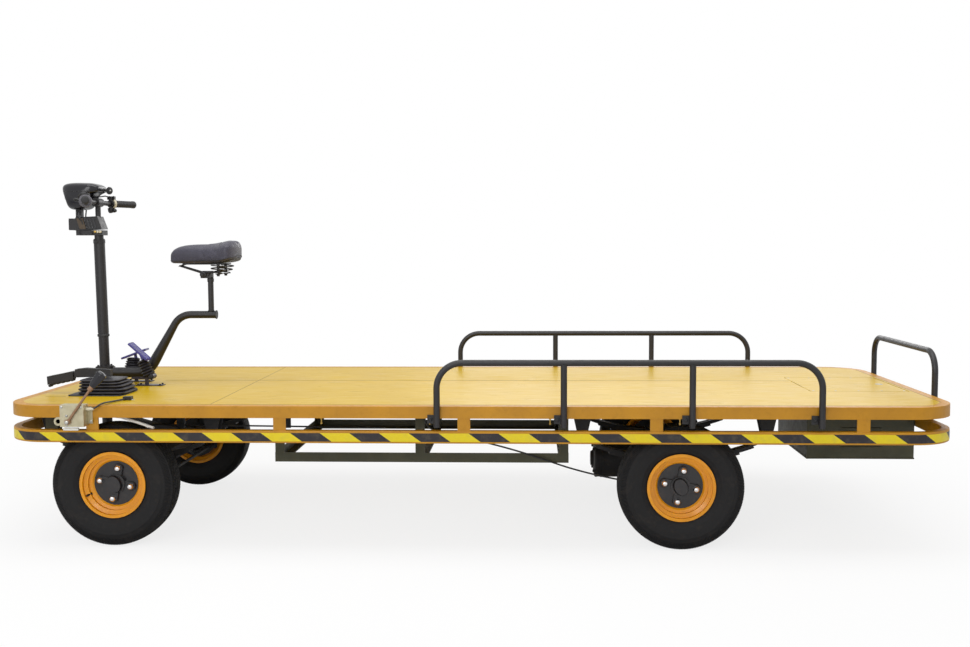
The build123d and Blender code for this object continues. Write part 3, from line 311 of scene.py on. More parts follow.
grip_rubber = moulded("black_grip_rubber", "#202022", "#131315", 0.48, 1.2)
boot_rubber = moulded("folded_boot_rubber", "#211f28", "#100f13", 0.36, 2.0)
cable_sheath = moulded("black_cable_sheath", "#262628", "#161617", 0.4, 1.5)
pale_plastic = moulded("cream_moulded_plastic", "#ddd5bd", "#bfb69c", 0.35, 3.0, 0.1, "#8d7f60", 0.35)
# White: the pale strip's own colour, and on the sleeve under the platform painted light for the backdrop seen through
# there.
white_strip_and_painted_light = moulded("white_moulded_plastic", "#fbfaf5", "#e9e7df", 0.3, 3.0, 0.1, "#b5b0a4", 0.15)
cowl_plastic = moulded("black_gloss_abs", "#11101b", "#0a0910", 0.08, 9.0, 0.04, "#54504a", 0.15)
lever_paint = moulded("black_lever_enamel", "#19191b", "#0f0f10", 0.35, 3.0, 0.1)
saddle_cover = moulded("grained_leatherette", "#3e3c4c", "#2e2c38", 0.38, 1.6, 0.35, "#55535c", 0.35, 0.12)
brown_strap = moulded("brown_rubber_strap", "#5b4c39", "#3a3026", 0.55, 2.0)
zinc_plate = plated("yellow_zinc_plate", "#d0c9af", "#a69d80", 0.34)
bright_chrome = plated("bright_chrome", "#f2f2f2", "#d8d8da", 0.08)
bright_zinc = plated("bright_zinc_bolts", "#c9c9c4", "#93928c", 0.3)
dull_bronze = plated("dull_bronze", "#b08e72", "#7d624c", 0.4)
yellow_brass = plated("yellow_brass", "#caa964", "#8f7434", 0.3)
print(len(bpy.data.materials), "finishes so far")

# %% [markdown]
# ## The tyres' rubber
#
# A worn pneumatic tyre is dull black-brown rubber with dust in its hollows and faint moulded rings on its wall.
# Each tyre is drawn round its own axis, so the distance from that axis is the length of the point's X and Y, and
# a sine of that distance gives rings about 6 mm apart.

# %% Tyre rubber
tyre_rubber, tree, place = new_finish("black_tyre_rubber")
split = add(tree, "SeparateXYZ", None, {0: place})
flat = add(tree, "CombineXYZ", None, {0: split, 1: split.outputs[1]})
distance = add(tree, "VectorMath", None, {0: flat}, operation="LENGTH")
waves = add(tree, "Math", {1: 2 * pi / 0.006}, {0: distance.outputs["Value"]}, operation="MULTIPLY")
rings = add(tree, "Math", None, {0: waves}, operation="SINE")
dust = add(tree, "TexNoise", {"Scale": per_metre(40), "Detail": 7.0, "Roughness": 0.62}, {"Vector": place})
colour = dusted(tree, "#08080a", "#171617", dust, "#5a5249", dust, 0.52, 0.8, 0.15)
fine = add(tree, "TexNoise", {"Scale": per_metre(3), "Detail": 3.0}, {"Vector": place})
height = add(tree, "Math", {1: 0.35}, {0: rings, 2: fine}, operation="MULTIPLY_ADD")
skin = add(tree, "Bump", {"Strength": 0.35, "Distance": 0.0005}, {"Height": height})
dull = add(tree, "MapRange", {"To Min": 0.55, "To Max": 0.85}, {"Value": dust})
shader = add(tree, "BsdfPrincipled", {"IOR": 1.4},
             {"Base Color": colour, "Roughness": dull, "Normal": skin})
add(tree, "OutputMaterial", None, {"Surface": shader})
print(tyre_rubber.name)

# %% [markdown]
# ## Lamp glass
#
# The lamp's lens is clear moulded plastic with upright flutes that spread the beam. The flutes are a sine bump
# 6 mm wide over a transmitting shader, and a reflector behind it gives the glass something to show.

# %% Lamp glass
lens_plastic, tree, place = new_finish("fluted_clear_acrylic")
split = add(tree, "SeparateXYZ", None, {0: place})
waves = add(tree, "Math", {1: 2 * pi / 0.006}, {0: split.outputs[1]}, operation="MULTIPLY")
flutes = add(tree, "Math", None, {0: waves}, operation="SINE")
skin = add(tree, "Bump", {"Strength": 0.4, "Distance": 0.0006}, {"Height": flutes})
haze = add(tree, "TexNoise", {"Scale": per_metre(20), "Detail": 4.0}, {"Vector": place})
worn = add(tree, "MapRange", {"To Min": 0.04, "To Max": 0.16}, {"Value": haze})
shader = add(tree, "BsdfPrincipled", {"IOR": 1.49, "Transmission Weight": 0.85, "Base Color": paint_chart("#eef2f4")},
             {"Roughness": worn, "Normal": skin})
add(tree, "OutputMaterial", None, {"Surface": shader})
print(lens_plastic.name)

# %% [markdown]
# ## Finishes on the solids
#
# Each solid already knows which finish family it belongs to. A short table turns that family into one of the
# finishes above. Only the material slot changes: the solid itself stays as drawn.

# %% Dress the solids
FAMILY = {
    "deck_yellow": deck_enamel,
    "frame_amber": amber_paint,
    "frame_dark": chassis_paint,
    "olive_paint": olive_paint,
    "black_tube": tube_powder,
    "grip_rubber": grip_rubber,
    "pale_plastic": pale_plastic,
    "lever_metal": lever_paint,
    "cowl_plastic": cowl_plastic,
    "lens_glass": lens_plastic,
    "saddle_cover": saddle_cover,
    "pedal_blue": pedal_paint,
    "zinc_yellow": zinc_plate,
    "lever_bronze": dull_bronze,
    "tyre_rubber": tyre_rubber,
    "rim_orange": orange_enamel,
    "disc_black": hub_paint,
}
for row in frame["record"]["subparts"]:
    solid = nodes[row["node"]]
    finish = FAMILY[row["material_slot"]]
    if not solid.material_slots:
        solid.data.materials.append(finish)
    for slot in solid.material_slots:
        slot.material = finish
for node in ("lever_cable", "brake_cables"):
    nodes[node].material_slots[0].material = cable_sheath

# %% [markdown]
# ## Three ways to make a small part
#
# Nearly every small part on a cart is turned, bent from rod, or cut from plate. So three functions make
# the points and faces of a turned shape, of a rod along a line, and of a plate with an outline. The first two are
# rings of points with a skin over them. A last one joins such shapes into one named piece, gives it its finish
# and fixes it to the body that carries it. The directions and the sides get short names, X to the rear end,
# Y to the cart's right side and Z up, and the measures that several pieces share get names too.

# %% Turned, rod and plate shapes
X, Y, Z = (1, 0, 0), (0, 1, 0), (0, 0, 1)
AHEAD, LEFT, DOWN = (-1, 0, 0), (0, -1, 0), (0, 0, -1)
SIDES = (-1, 1)
# Heights and places that several pieces share
DECK_TOP, AXLE_Z = 595, 254
FRONT_AXLE, REAR_AXLE, WHEEL_Y, SPRING_Y, BRAKE_LEVER_Y = -1477, 835, 558, 362, -330


def net(rows, width, around=True, closed=False):
    """Faces between rows of points. A row may close on itself, and so may the whole net."""
    faces = []
    for i in range(rows if closed else rows - 1):
        here, there = i * width, (i + 1) % rows * width
        for k in range(width if around else width - 1):
            n = (k + 1) % width
            faces.append((here + k, here + n, there + n, there + k))
    return faces


def flipped(faces):
    """The same four sided faces, seen from their other side."""
    return [(a, d, c, b) for a, b, c, d in faces]


def lofted(rings, closed_ends=True):
    """A skin over rings that have as many points each."""
    count, width = len(rings), len(rings[0])
    faces = net(count, width)
    if closed_ends:
        faces += [tuple(range(width - 1, -1, -1)), tuple(range((count - 1) * width, count * width))]
    return [p for ring in rings for p in ring], faces


def circle(turns, shift=0.0):
    """Cosine and sine of evenly spaced angles."""
    angles = [2 * pi * (k + shift) / turns for k in range(turns)]
    return [(cos(a), sin(a)) for a in angles]


def turned(profile, start, axis, turns=24):
    """A shape turned round an axis. Each row of the profile is (distance along it, radius)."""
    axis = Vector(axis).normalized()
    side = axis.orthogonal().normalized()
    other = axis.cross(side)
    return lofted([[Vector(start) + axis * along + (side * c + other * s) * radius for c, s in circle(turns)]
                   for along, radius in profile])


def rod_along(line, radius, sides=10, closed=False):
    """A round rod along a line of points."""
    line = [Vector(p) for p in line]
    count = len(line)
    rings, side = [], None
    for i, p in enumerate(line):
        before = line[i - 1] if i or closed else p
        after = line[(i + 1) % count] if i + 1 < count or closed else p
        way = (after - before).normalized()
        side = way.orthogonal() if side is None else side - way * side.dot(way)
        side.normalize()
        other = way.cross(side)
        rings.append([p + (side * c + other * s) * radius for c, s in circle(sides)])
    points, faces = lofted(rings, closed_ends=not closed)
    return points, net(count, sides, closed=True) if closed else faces


def plate(outline, thickness, origin, across, up):
    """A plate whose outline lies in the plane of two directions, grown towards across x up."""
    across, up = Vector(across).normalized(), Vector(up).normalized()
    out = across.cross(up)
    count = len(outline)
    points = [Vector(origin) + across * u + up * v for u, v in outline]
    points += [p + out * thickness for p in points]
    faces = [tuple(range(count - 1, -1, -1)), tuple(range(count, 2 * count))]
    faces += [(i, (i + 1) % count, (i + 1) % count + count, i + count) for i in range(count)]
    return points, faces


def bar(x, y, z):
    """A rectangular bar between low and high places."""
    outline = ((x[0], y[0]), (x[1], y[0]), (x[1], y[1]), (x[0], y[1]))
    return plate(outline, z[1] - z[0], (0, 0, z[0]), X, Y)


def wearing(number, *shapes):
    """Shapes with the number of their finish."""
    return [(*shape, number) for shape in shapes]


def make_piece(name, shapes, finish, body, bevel=0, smooth_below=38, levels=0):
    """One piece made of several shapes. A shape may end with the number of its finish."""
    finishes = finish if isinstance(finish, (list, tuple)) else [finish]
    points, faces, numbers = [], [], []
    for shape in shapes:
        first = len(points)
        points += [Vector(p) / 1000 for p in shape[0]]
        faces += [tuple(first + i for i in face) for face in shape[1]]
        numbers += [shape[2] if len(shape) > 2 else 0] * len(shape[1])
    mesh = bpy.data.meshes.new(name)
    mesh.from_pydata(points, [], faces)
    for entry in finishes:
        mesh.materials.append(entry)
    mesh.polygons.foreach_set("material_index", numbers)
    mesh.polygons.foreach_set("use_smooth", [True] * len(faces))
    mesh.set_sharp_from_angle(angle=radians(smooth_below))
    mesh.update()
    made = stand(name, mesh)
    if bevel:
        edge = made.modifiers.new("worn_edges", "BEVEL")
        edge.width, edge.segments, edge.limit_method = bevel / 1000, 2, "ANGLE"
        edge.angle_limit = radians(40)
    if levels:
        rounder = made.modifiers.new("rounding", "SUBSURF")
        rounder.levels = rounder.render_levels = levels
    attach(made, body)
    return made


print("turned, rod and plate shapes ready")

# %% [markdown]
# ## Warning tape round the bumper
#
# The bumper's face carries adhesive tape with slanted black and yellow bars, 118 mm each. It is laid as a thin
# skin just proud of the bar. Distance is measured round the bumper from the front left corner, so the bars run
# over the rounded corners without a break, as the real tape does. Geometry is used and not a pattern in
# a material, because the bars then stay sharp at any distance.

# %% Tape
HALF_LENGTH, HALF_WIDTH, CORNER = 1905, 700, 187
BAR_LENGTH, BAR_SLANT, TAPE_START = 118, 47, 55
TAPE_ROWS = ((454.0, 0.05), (454.4, 0.45), (460, 0.5), (471, 0.5), (482, 0.5), (487.6, 0.45), (488.0, 0.05))
SIDE_RUN, END_RUN, CORNER_RUN = 2 * (HALF_LENGTH - CORNER), 2 * (HALF_WIDTH - CORNER), pi / 2 * CORNER
ROUND = 2 * (SIDE_RUN + END_RUN) + 4 * CORNER_RUN


def round_the_cart(s):
    """Place and outward direction at a distance round the bumper, from the front end of its left side."""
    s %= ROUND
    corner_x, corner_y = HALF_LENGTH - CORNER, HALF_WIDTH - CORNER
    runs = (
        (SIDE_RUN, (-corner_x, -HALF_WIDTH), 0, (corner_x, -corner_y)),
        (END_RUN, (HALF_LENGTH, -corner_y), 90, (corner_x, corner_y)),
        (SIDE_RUN, (corner_x, HALF_WIDTH), 180, (-corner_x, corner_y)),
        (END_RUN, (-HALF_LENGTH, corner_y), 270, (-corner_x, -corner_y)),
    )
    for length, start, way, middle in runs:
        heading = radians(way)
        if s <= length:
            place = Vector((start[0] + cos(heading) * s, start[1] + sin(heading) * s, 0))
            return place, Vector((sin(heading), -cos(heading), 0))
        s -= length
        if s <= CORNER_RUN:
            a = heading - pi / 2 + s / CORNER
            out = Vector((cos(a), sin(a), 0))
            return Vector((*middle, 0)) + out * CORNER, out
        s -= CORNER_RUN
    return Vector((-corner_x, -HALF_WIDTH, 0)), Vector(LEFT)


FULL_BARS, LAST_BAR, BAR_STEPS = 86, 69, 9
edges = [TAPE_START + BAR_LENGTH * k for k in range(FULL_BARS)]
edges += [ROUND + TAPE_START - LAST_BAR, ROUND + TAPE_START]
columns, tape_colours = [], []
for k, (start, end) in enumerate(zip(edges, edges[1:])):
    for i in range(BAR_STEPS):
        columns.append(start + (end - start) * i / BAR_STEPS)
        tape_colours.append(1 if k % 2 == 0 and k < FULL_BARS else 0)
tape_points = []
low_z, high_z = TAPE_ROWS[0][0], TAPE_ROWS[-1][0]
for s in columns:
    for z, proud in TAPE_ROWS:
        place, out = round_the_cart(s + BAR_SLANT * (high_z - z) / (high_z - low_z))
        tape_points.append(place + out * proud + Vector((0, 0, z)))
tape_faces = flipped(net(len(columns), len(TAPE_ROWS), around=False, closed=True))
tape_numbers = [colour for colour in tape_colours for _ in TAPE_ROWS[1:]]


def tape_vinyl(name, colour, worn_to):
    """Glossy vinyl with rubbed patches."""
    return moulded(name, colour, worn_to, 0.3, 14.0, 0.05, "#7a6f52", 0.3)


tape = make_piece("warning_tape", [(tape_points, tape_faces)],
                  [tape_vinyl("yellow_vinyl_tape", "#ead40c", "#d8c008"),
                   tape_vinyl("black_vinyl_tape", "#201920", "#151217")], "chassis")
tape.data.polygons.foreach_set("material_index", tape_numbers)
print(len(tape_faces), "tape faces,", len(edges) - 1, "bars round", round(ROUND), "mm")

# %% [markdown]
# ## Platform trim
#
# The platform is welded from sheets, and its joints are filled with a bead of sealant that shows as thin dark
# lines. The lid near the rear has a flat lift ring. Small brass studs hang from the rim, where wires are tied,
# and an olive plate stands behind the rim at the front.

# %% Sealant, studs and plate
BEAD_WIDTH, BEAD_HEIGHT = 3.2, 0.7


def bead(start, end):
    """A low crowned bead of sealant along a joint on the platform."""
    start, end = Vector((*start, DECK_TOP - 0.05)), Vector((*end, DECK_TOP - 0.05))
    way = (end - start).normalized()
    side = Vector((-way.y, way.x, 0)) * BEAD_WIDTH / 2
    crown = Vector((0, 0, BEAD_HEIGHT))
    section = [side, side * 0.6 + crown * 0.8, crown, -side * 0.6 + crown * 0.8, -side]
    steps = max(2, int((end - start).length / 60))
    points = []
    for i in range(steps + 1):
        wander = side * 0.25 * noise.noise(Vector((i * 0.7, start.y / 50, 0)))
        points += [start.lerp(end, i / steps) + p + wander for p in section]
    return points, flipped(net(steps + 1, len(section), around=False))


joint_sealant = moulded("dark_joint_sealant", "#8a6f1c", "#5d4a14", 0.5, 2.5)
BEADS = (
    ((-1499, 115), (1425, 115)), ((-1824, -435), (-1738, -435)), ((-1049.8, -655), (-1049.8, 655)),
    ((-1800, 659.8), (1800, 659.8)), ((-1800, -659.8), (1800, -659.8)), ((1864.8, -560), (1864.8, 560)),
)
make_piece("platform_sealant", [bead(a, b) for a, b in BEADS], joint_sealant, "chassis")

STUD_X = (-595, -164, 309, 372, 815)
stud = [(0, 5), (3, 5), (3.5, 3), (16, 3), (17, 4.5), (24, 4.5), (25, 2)]
make_piece("rim_studs", [turned(stud, (x, -690, 547), DOWN, 12) for x in STUD_X], yellow_brass, "chassis")
olive = [bar((-1748, -1698), (-606, -600), (484, 547)), bar((-1748, -1700), (-600, -560), (538, 544))]
make_piece("front_olive_plate", olive, olive_paint, "chassis", bevel=0.8)
lift = [turned([(-0.2, 17), (0.6, 17), (0.9, 15.5), (0.9, 12), (0.2, 11.5)], (1800, 0, DECK_TOP), Z, 36)]
make_piece("lid_lift_ring", lift, bright_zinc, "hatch")
print(len(BEADS), "beads,", len(STUD_X), "studs")

# %% [markdown]
# ## Bolts
#
# A bolt head is a six sided turning with a domed, chamfered top on a round washer. One function makes one at any
# place, and tables give the places: the rails' ears, the posts' feet, the spring hangers and the post's flange.

# %% Bolts


def hex_bolt(place, axis, across, washer, height=6):
    """Hexagonal head on a washer, standing on a place along an axis."""
    r = across / sqrt(3)
    head = turned([(1.6, r), (1.6 + height * 0.8, r), (1.6 + height, r * 0.82), (1.6 + height, 0.5)],
                  place, axis, 6)
    ring = turned([(0, washer), (1.2, washer), (1.6, washer - 0.6), (1.6, 2)], place, axis, 20)
    return [head, ring]


def hex_bolts(places, axis, *sizes):
    """The same bolt at several places."""
    return [shape for place in places for shape in hex_bolt(place, axis, *sizes)]


RAIL_LEGS = (-135, 362, 860, 1357)
rail_bolts = []
for side in SIDES:
    rail_bolts += hex_bolts([(x - 26, side * 705.3, 545) for x in RAIL_LEGS], (0, side, 0), 12, 10)
rail_bolts += hex_bolts([(1930.8, y, z) for y in (-345, 445) for z in (528, 560)], X, 10, 8)
make_piece("rail_bolts", rail_bolts, chassis_paint, "chassis")

AXLES = ((FRONT_AXLE, 350), (REAR_AXLE, 385))
spring_bolts = []
for axle, reach in AXLES:
    for face in (-1, 1):
        spots = [(x, side * SPRING_Y + face * 31.3, 410.3) for x in (axle - reach, axle + reach) for side in SIDES]
        spring_bolts += hex_bolts(spots, (0, face, 0), 15, 13, 8)
make_piece("spring_eye_nuts", spring_bolts, bright_zinc, "chassis")
print(len(rail_bolts) // 2 + len(spring_bolts) // 2, "bolts")

# %% [markdown]
# ## U-bolts round springs and axles
#
# Each leaf spring is clamped to its axle by two U-bolts with a plate below. They are rods bent over the leaves,
# and their nuts sit under the plate.

# %% U-bolts
PACK_TOP, PLATE_LOW = 334, 210


def u_bolt(x, y):
    """One rod over the spring at a place along the cart."""
    half, bend = 30.5, 9
    line = [(half, PLATE_LOW - 16)]
    for i in range(6):
        a = radians(18 * i)
        line.append((half - bend * (1 - cos(a)), PACK_TOP - bend * (1 - sin(a))))
    return rod_along([(x, y - u, z) for u, z in line] + [(x, y + u, z) for u, z in line[::-1]], 5)


clamps = []
for axle, _ in AXLES:
    for y in (-SPRING_Y, SPRING_Y):
        clamps.append(bar((axle - 52, axle + 52), (y - 42, y + 42), (PLATE_LOW, PLATE_LOW + 8)))
        for x in (axle - 40, axle + 40):
            clamps.append(u_bolt(x, y))
            clamps += hex_bolts([(x, y - 30.5, PLATE_LOW), (x, y + 30.5, PLATE_LOW)], DOWN, 16, 12, 9)
make_piece("spring_u_bolts", clamps, chassis_paint, "chassis", bevel=0.6)
print(len(clamps), "clamp shapes")

# %% [markdown]
# ## Tyres
#
# The tyre's wall swells out from the bead and ends in a band of fine radial ribs at the shoulder, about 6 mm
# apart, with a groove between that band and the running face. The running face has straight and zigzag grooves
# with fine cross cuts. One section is turned in 960 steps, and the rib band drops on every second pair of steps.
# The tyre is drawn once, round its own axis, and the same mesh stands on all four wheels.

# %% Tyre mesh
WHEELS = {
    "front_left": (FRONT_AXLE, -1), "front_right": (FRONT_AXLE, 1),
    "rear_left": (REAR_AXLE, -1), "rear_right": (REAR_AXLE, 1),
}
WALL = (
    (134, 43.5, 0), (139.5, 47.2, 0), (143, 50.6, 0), (149, 55.2, 0), (158, 59.6, 0), (160, 61.4, 0),
    (163, 61.8, 0), (166, 62.0, 0), (176, 64.4, 0), (188, 65.7, 0), (200, 65.6, 0), (203, 66.3, 0),
    (206, 66.1, 0), (208, 64.6, 0), (216, 62.9, 0), (221.5, 61.2, 0), (223, 61.4, 1), (231, 58.8, 1),
    (238, 55.9, 1), (243.5, 53.0, 1), (244.5, 51.6, 0), (244.6, 50.6, 0), (248.6, 50.0, 2), (250.4, 48.4, 2),
)
RIBS = 240
GROOVES = ((38, 0), (19, 2.2), (0, 0), (-19, 2.2), (-38, 0))
CROWN_RADIUS, CROWN_DROP, GROOVE_DEPTH = 253.6, 4.2, 4.2


def running_face():
    """Rows across the tread: radius, width, kind and zigzag."""
    rows = []
    for middle, zigzag in GROOVES:
        for offset, deep in ((8.2, 0), (3.1, 0), (1.9, GROOVE_DEPTH), (-1.9, GROOVE_DEPTH), (-3.1, 0)):
            w = middle + offset
            kind = 2 if abs(w) > 40 else (3 if deep == 0 else 0)
            rows.append((CROWN_RADIUS - CROWN_DROP * (w / 50) ** 2 - deep, w, kind, zigzag))
    rows.append((CROWN_RADIUS - CROWN_DROP * (46.2 / 50) ** 2, -46.2, 2, 0))
    return rows


section = [(*row, 0) for row in WALL] + running_face() + [(r, -w, kind, 0) for r, w, kind in reversed(WALL)]
STEPS = 4 * RIBS
tyre_points = []
for step in range(STEPS):
    a = 2 * pi * step / STEPS
    down = step % 4 >= 2
    wave = abs(step % 24 - 12) / 6 - 1
    for r, w, kind, zigzag in section:
        if kind == 1 and down:
            w -= 1.7 * (1 if w > 0 else -1)
            r -= 1.2
        if kind == 2 and down:
            r -= 1.6
        if kind == 3 and step % 12 in (0, 1):
            r -= 1.5
        tyre_points.append((r * cos(a), r * sin(a), w + wave * zigzag))
tyre_faces = net(STEPS, len(section), around=False, closed=True)


def wheel_frame(place, side):
    """A wheel's own axes: X along the cart, Z outwards."""
    axes = Matrix((X, (0, 0, -side), (0, side, 0))).transposed().to_4x4()
    return Matrix.Translation(Vector((place, side * WHEEL_Y, AXLE_Z)) / 1000) @ axes


tyre_mesh = bpy.data.meshes.new("ribbed_tyre")
tyre_mesh.from_pydata([Vector(p) / 1000 for p in tyre_points], [], [tuple(reversed(f)) for f in tyre_faces])
tyre_mesh.materials.append(tyre_rubber)
tyre_mesh.polygons.foreach_set("use_smooth", [True] * len(tyre_faces))
tyre_mesh.set_sharp_from_angle(angle=radians(42))
for wheel, (place, side) in WHEELS.items():
    cover = stand(f"ribbed_tyre_{wheel}", tyre_mesh)
    cover.matrix_world = wheel_frame(place, side)
    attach(cover, f"wheel_{wheel}")
    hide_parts(f"tyre_{wheel}")
print(len(tyre_faces), "faces in a tyre,", len(section), "rows")

# %% [markdown]
# ## Wheel nuts, washers, valve and a painted groove shade round the hub cap
#
# Each wheel is held by four domed chrome nuts on black washers, and its valve stands in the orange rim. A thin
# dark ring round the oval hub cap is painted shade where the cap's groove is. They are turned round the wheel's
# own axis and then placed like the tyre.

# %% Wheel fittings
NUT_CIRCLE, NUT_TURN = 64, -11
DOME = [(4.0, 12.2), (7.4, 12.2), (8.2, 11.6), (10.6, 10.9), (13.2, 8.6), (15.0, 5.2), (15.6, 1.0)]
VALVE_PLACE = {"front_left": (112, 203), "rear_left": (119, 124), "front_right": (114, 60), "rear_right": (114, 290)}


def wheel_fittings(wheel):
    """Nuts, washers, valve and the dark ring of painted groove shade round the cap of one wheel, round its own axis.
    """
    shapes = []
    for c, s in circle(4, NUT_TURN / 90):
        spot = (NUT_CIRCLE * c, NUT_CIRCLE * s, 19.05)
        shapes += wearing(1, turned([(-10.1, 19.5), (-1.0, 19.2), (0.6, 17.4), (0.7, 2)], spot, Z, 32))
        shapes += [turned([(0.6, 13.6), (4.6, 13.6), (6.0, 12.6), (6.1, 2)], spot, Z, 6), turned(DOME, spot, Z)]
    r, a = VALVE_PLACE[wheel]
    out = Vector((cos(radians(a)), sin(radians(a)), 0))
    stem = [(-2, 6.5), (3, 5.6), (14, 4.4), (16, 4.2), (16, 3.9), (25, 3.9), (27, 3)]
    shapes += wearing(2, turned(stem, out * r + Vector((0, 0, 20)), out * 0.35 + Vector(Z), 16))
    # A dark ring round the cap: painted shade where the cap's groove is.
    tilt = Matrix.Rotation(radians(115), 3, "Z")
    loop = [tilt @ Vector((37.5 * c, 29.5 * s, 25.6)) for c, s in circle(48)]
    return shapes + wearing(3, rod_along(loop, 1.7, 8, closed=True))


for wheel, (place, side) in WHEELS.items():
    fittings = make_piece(f"wheel_nuts_{wheel}", wheel_fittings(wheel),
                          [bright_chrome, hub_paint, cable_sheath, tube_powder], f"wheel_{wheel}")
    fittings.matrix_world = wheel_frame(place, side)
print("fittings on", len(WHEELS), "wheels")

# %% [markdown]
# ## Saddle: a stuffed form
#
# The saddle is foam under a stretched leatherette cover, wide at the tail and narrow at the nose. Its form is
# drawn as rings across it, each from the top, bottom and half width that belong to one place along the saddle.
# It is drawn a little too small. Then its skin is remeshed to an even net and blown up as cloth, with its flat
# underside pinned to the saddle's pan, so the cover gets the tight, crowned swell of a stuffed thing.

# %% Saddle form
SADDLE_ROWS = (
    (-1417, 1190, 1162, 16), (-1411, 1204, 1153, 29), (-1399, 1218, 1151, 37), (-1375, 1230, 1150.5, 43),
    (-1345, 1236, 1150.5, 48), (-1300, 1238.5, 1150.5, 54), (-1250, 1238.5, 1150.5, 64), (-1200, 1241, 1150.5, 84),
    (-1168, 1247, 1151.5, 103), (-1146, 1253, 1155, 114), (-1131, 1256.5, 1159, 114), (-1120, 1257, 1163, 104),
    (-1111, 1254, 1167, 84), (-1103, 1248, 1171, 55), (-1098, 1238, 1177, 22),
)
SADDLE_RINGS = 44  # and as many points in each


def between(rows, x):
    """The row of a table at a place between its entries."""
    for low, high in zip(rows, rows[1:]):
        if x <= high[0]:
            t = (x - low[0]) / (high[0] - low[0])
            return tuple(a + (b - a) * t for a, b in zip(low, high))
    return rows[-1]


def powered(value, power):
    """A power that keeps the sign of its value."""
    return abs(value) ** power * (1 if value >= 0 else -1)


def clamped(value):
    """A value kept between nothing and all."""
    return min(1.0, max(0.0, value))


def saddle_form(shrink):
    """Closed form of the saddle, this many millimetres inside its finished skin."""
    first, last = SADDLE_ROWS[0][0] + shrink, SADDLE_ROWS[-1][0] - shrink
    rings = []
    for i in range(SADDLE_RINGS):
        x = first + (last - first) * (0.5 - 0.5 * cos(pi * i / (SADDLE_RINGS - 1)))
        _, top, low, half = between(SADDLE_ROWS, x)
        middle, rise = (top - shrink + low) / 2, (top - shrink - low) / 2
        half -= shrink
        rings.append([Vector((x, half * powered(c, 0.8), middle + rise * powered(s, 0.72 if s > 0 else 0.16)))
                      for c, s in circle(SADDLE_RINGS)])
    return lofted(rings)


def settle(piece):
    """Turns a piece's modifiers into its own mesh."""
    graph = bpy.context.evaluated_depsgraph_get()
    mesh = bpy.data.meshes.new_from_object(piece.evaluated_get(graph))
    piece.modifiers.clear()
    piece.data = mesh


saddle = make_piece("saddle_cover", [saddle_form(4)], saddle_cover, "chassis")
even = saddle.modifiers.new("even_net", "REMESH")
even.mode, even.voxel_size = "VOXEL", 0.005
settle(saddle)
print(len(saddle.data.vertices), "points in the saddle's net")

# %% [markdown]
# ## Saddle: blown up as cloth
#
# The underside and the lowest edge are pinned. Twenty frames of cloth with pressure inside swell the rest, and no
# point may move further than the cap. Afterwards the tail's channel, the seam between the two cover panels and
# the piping at the lower edge are drawn, because they are narrower than the net was.

# %% Saddle swell
SWELL_CAP = 0.007
start = [v.co.copy() for v in saddle.data.vertices]
pins = saddle.vertex_groups.new(name="pan_edge")
for v in saddle.data.vertices:
    low = between(SADDLE_ROWS, v.co.x * 1000)[2] / 1000
    pins.add([v.index], clamped((low + 0.016 - v.co.z) / 0.010), "REPLACE")
stuffing = saddle.modifiers.new("stuffing", "CLOTH")
stuffing.settings.use_pressure = True
stuffing.settings.uniform_pressure_force = 4.0
stuffing.settings.effector_weights.gravity = 0.0
stuffing.settings.vertex_group_mass = "pan_edge"
stuffing.point_cache.frame_start, stuffing.point_cache.frame_end = 1, 20
for frame_number in range(1, 21):
    bpy.context.scene.frame_set(frame_number)
graph = bpy.context.evaluated_depsgraph_get()
blown = [v.co.copy() for v in saddle.evaluated_get(graph).data.vertices]
saddle.modifiers.clear()
moves = [b - a for a, b in zip(start, blown)]
for v, a, move in zip(saddle.data.vertices, start, moves):
    v.co = a + move * min(1.0, SWELL_CAP / max(move.length, 1e-9))
bpy.context.scene.frame_set(1)
print("largest swell", round(1000 * max(m.length for m in moves), 1), "mm, before the cap")
rounder = saddle.modifiers.new("rounding", "SUBSURF")
rounder.levels = rounder.render_levels = 1
settle(saddle)


def seam_x(y):
    """Where the seam between the panels runs."""
    return -1170 + 10 * (abs(y) / 100) ** 2


outwards = [v.normal.copy() for v in saddle.data.vertices]
for v, out in zip(saddle.data.vertices, outwards):
    x, y, z = (c * 1000 for c in v.co)
    top = between(SADDLE_ROWS, x)[1]
    upper = clamped((z - top + 34) / 22)
    tail = clamped((x + 1340) / 200)
    channel = 7 * tail * tail * (3 - 2 * tail) * exp(-(y / 15) ** 2) * upper
    groove = 2.6 * exp(-((x - seam_x(y)) / 3.2) ** 2) * clamped((z - top + 62) / 20)
    v.co.z -= channel / 1000
    v.co -= out * groove / 1000
saddle.data.polygons.foreach_set("use_smooth", [True] * len(saddle.data.polygons))
saddle.data.update()
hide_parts("saddle")
print(len(saddle.data.polygons), "faces in the saddle")

# %% [markdown]
# ## Saddle: piping, stitches and pan
#
# A cord of piping runs round the lower edge of the cover. Two rows of stitches follow the seam between the nose
# panel and the tail panel: each stitch is a short rod that is dropped on the cover from above. A moulded pan
# closes the underside.

# %% Saddle trim
skin = BVHTree.FromPolygons([v.co for v in saddle.data.vertices], [tuple(p.vertices) for p in saddle.data.polygons])


def edge_line(inset, rise):
    """A loop round the saddle near its lower edge."""
    near, far = [], []
    for i in range(40):
        x = -1412 + (1412 - 1092) * i / 39
        _, _, low, half = between(SADDLE_ROWS, x)
        near.append((x, -(half - inset), low + rise))
        far.append((x, half - inset, low + rise))
    return near + far[::-1]


piping = []
for x, y, z in edge_line(0, 9):
    spot, way, _, _ = skin.find_nearest(Vector((x, y * 1.05, z)) / 1000)
    piping.append(spot * 1000 + way * 0.6)
make_piece("saddle_piping", [rod_along(piping, 2.0, 8, closed=True)], grip_rubber, "chassis")

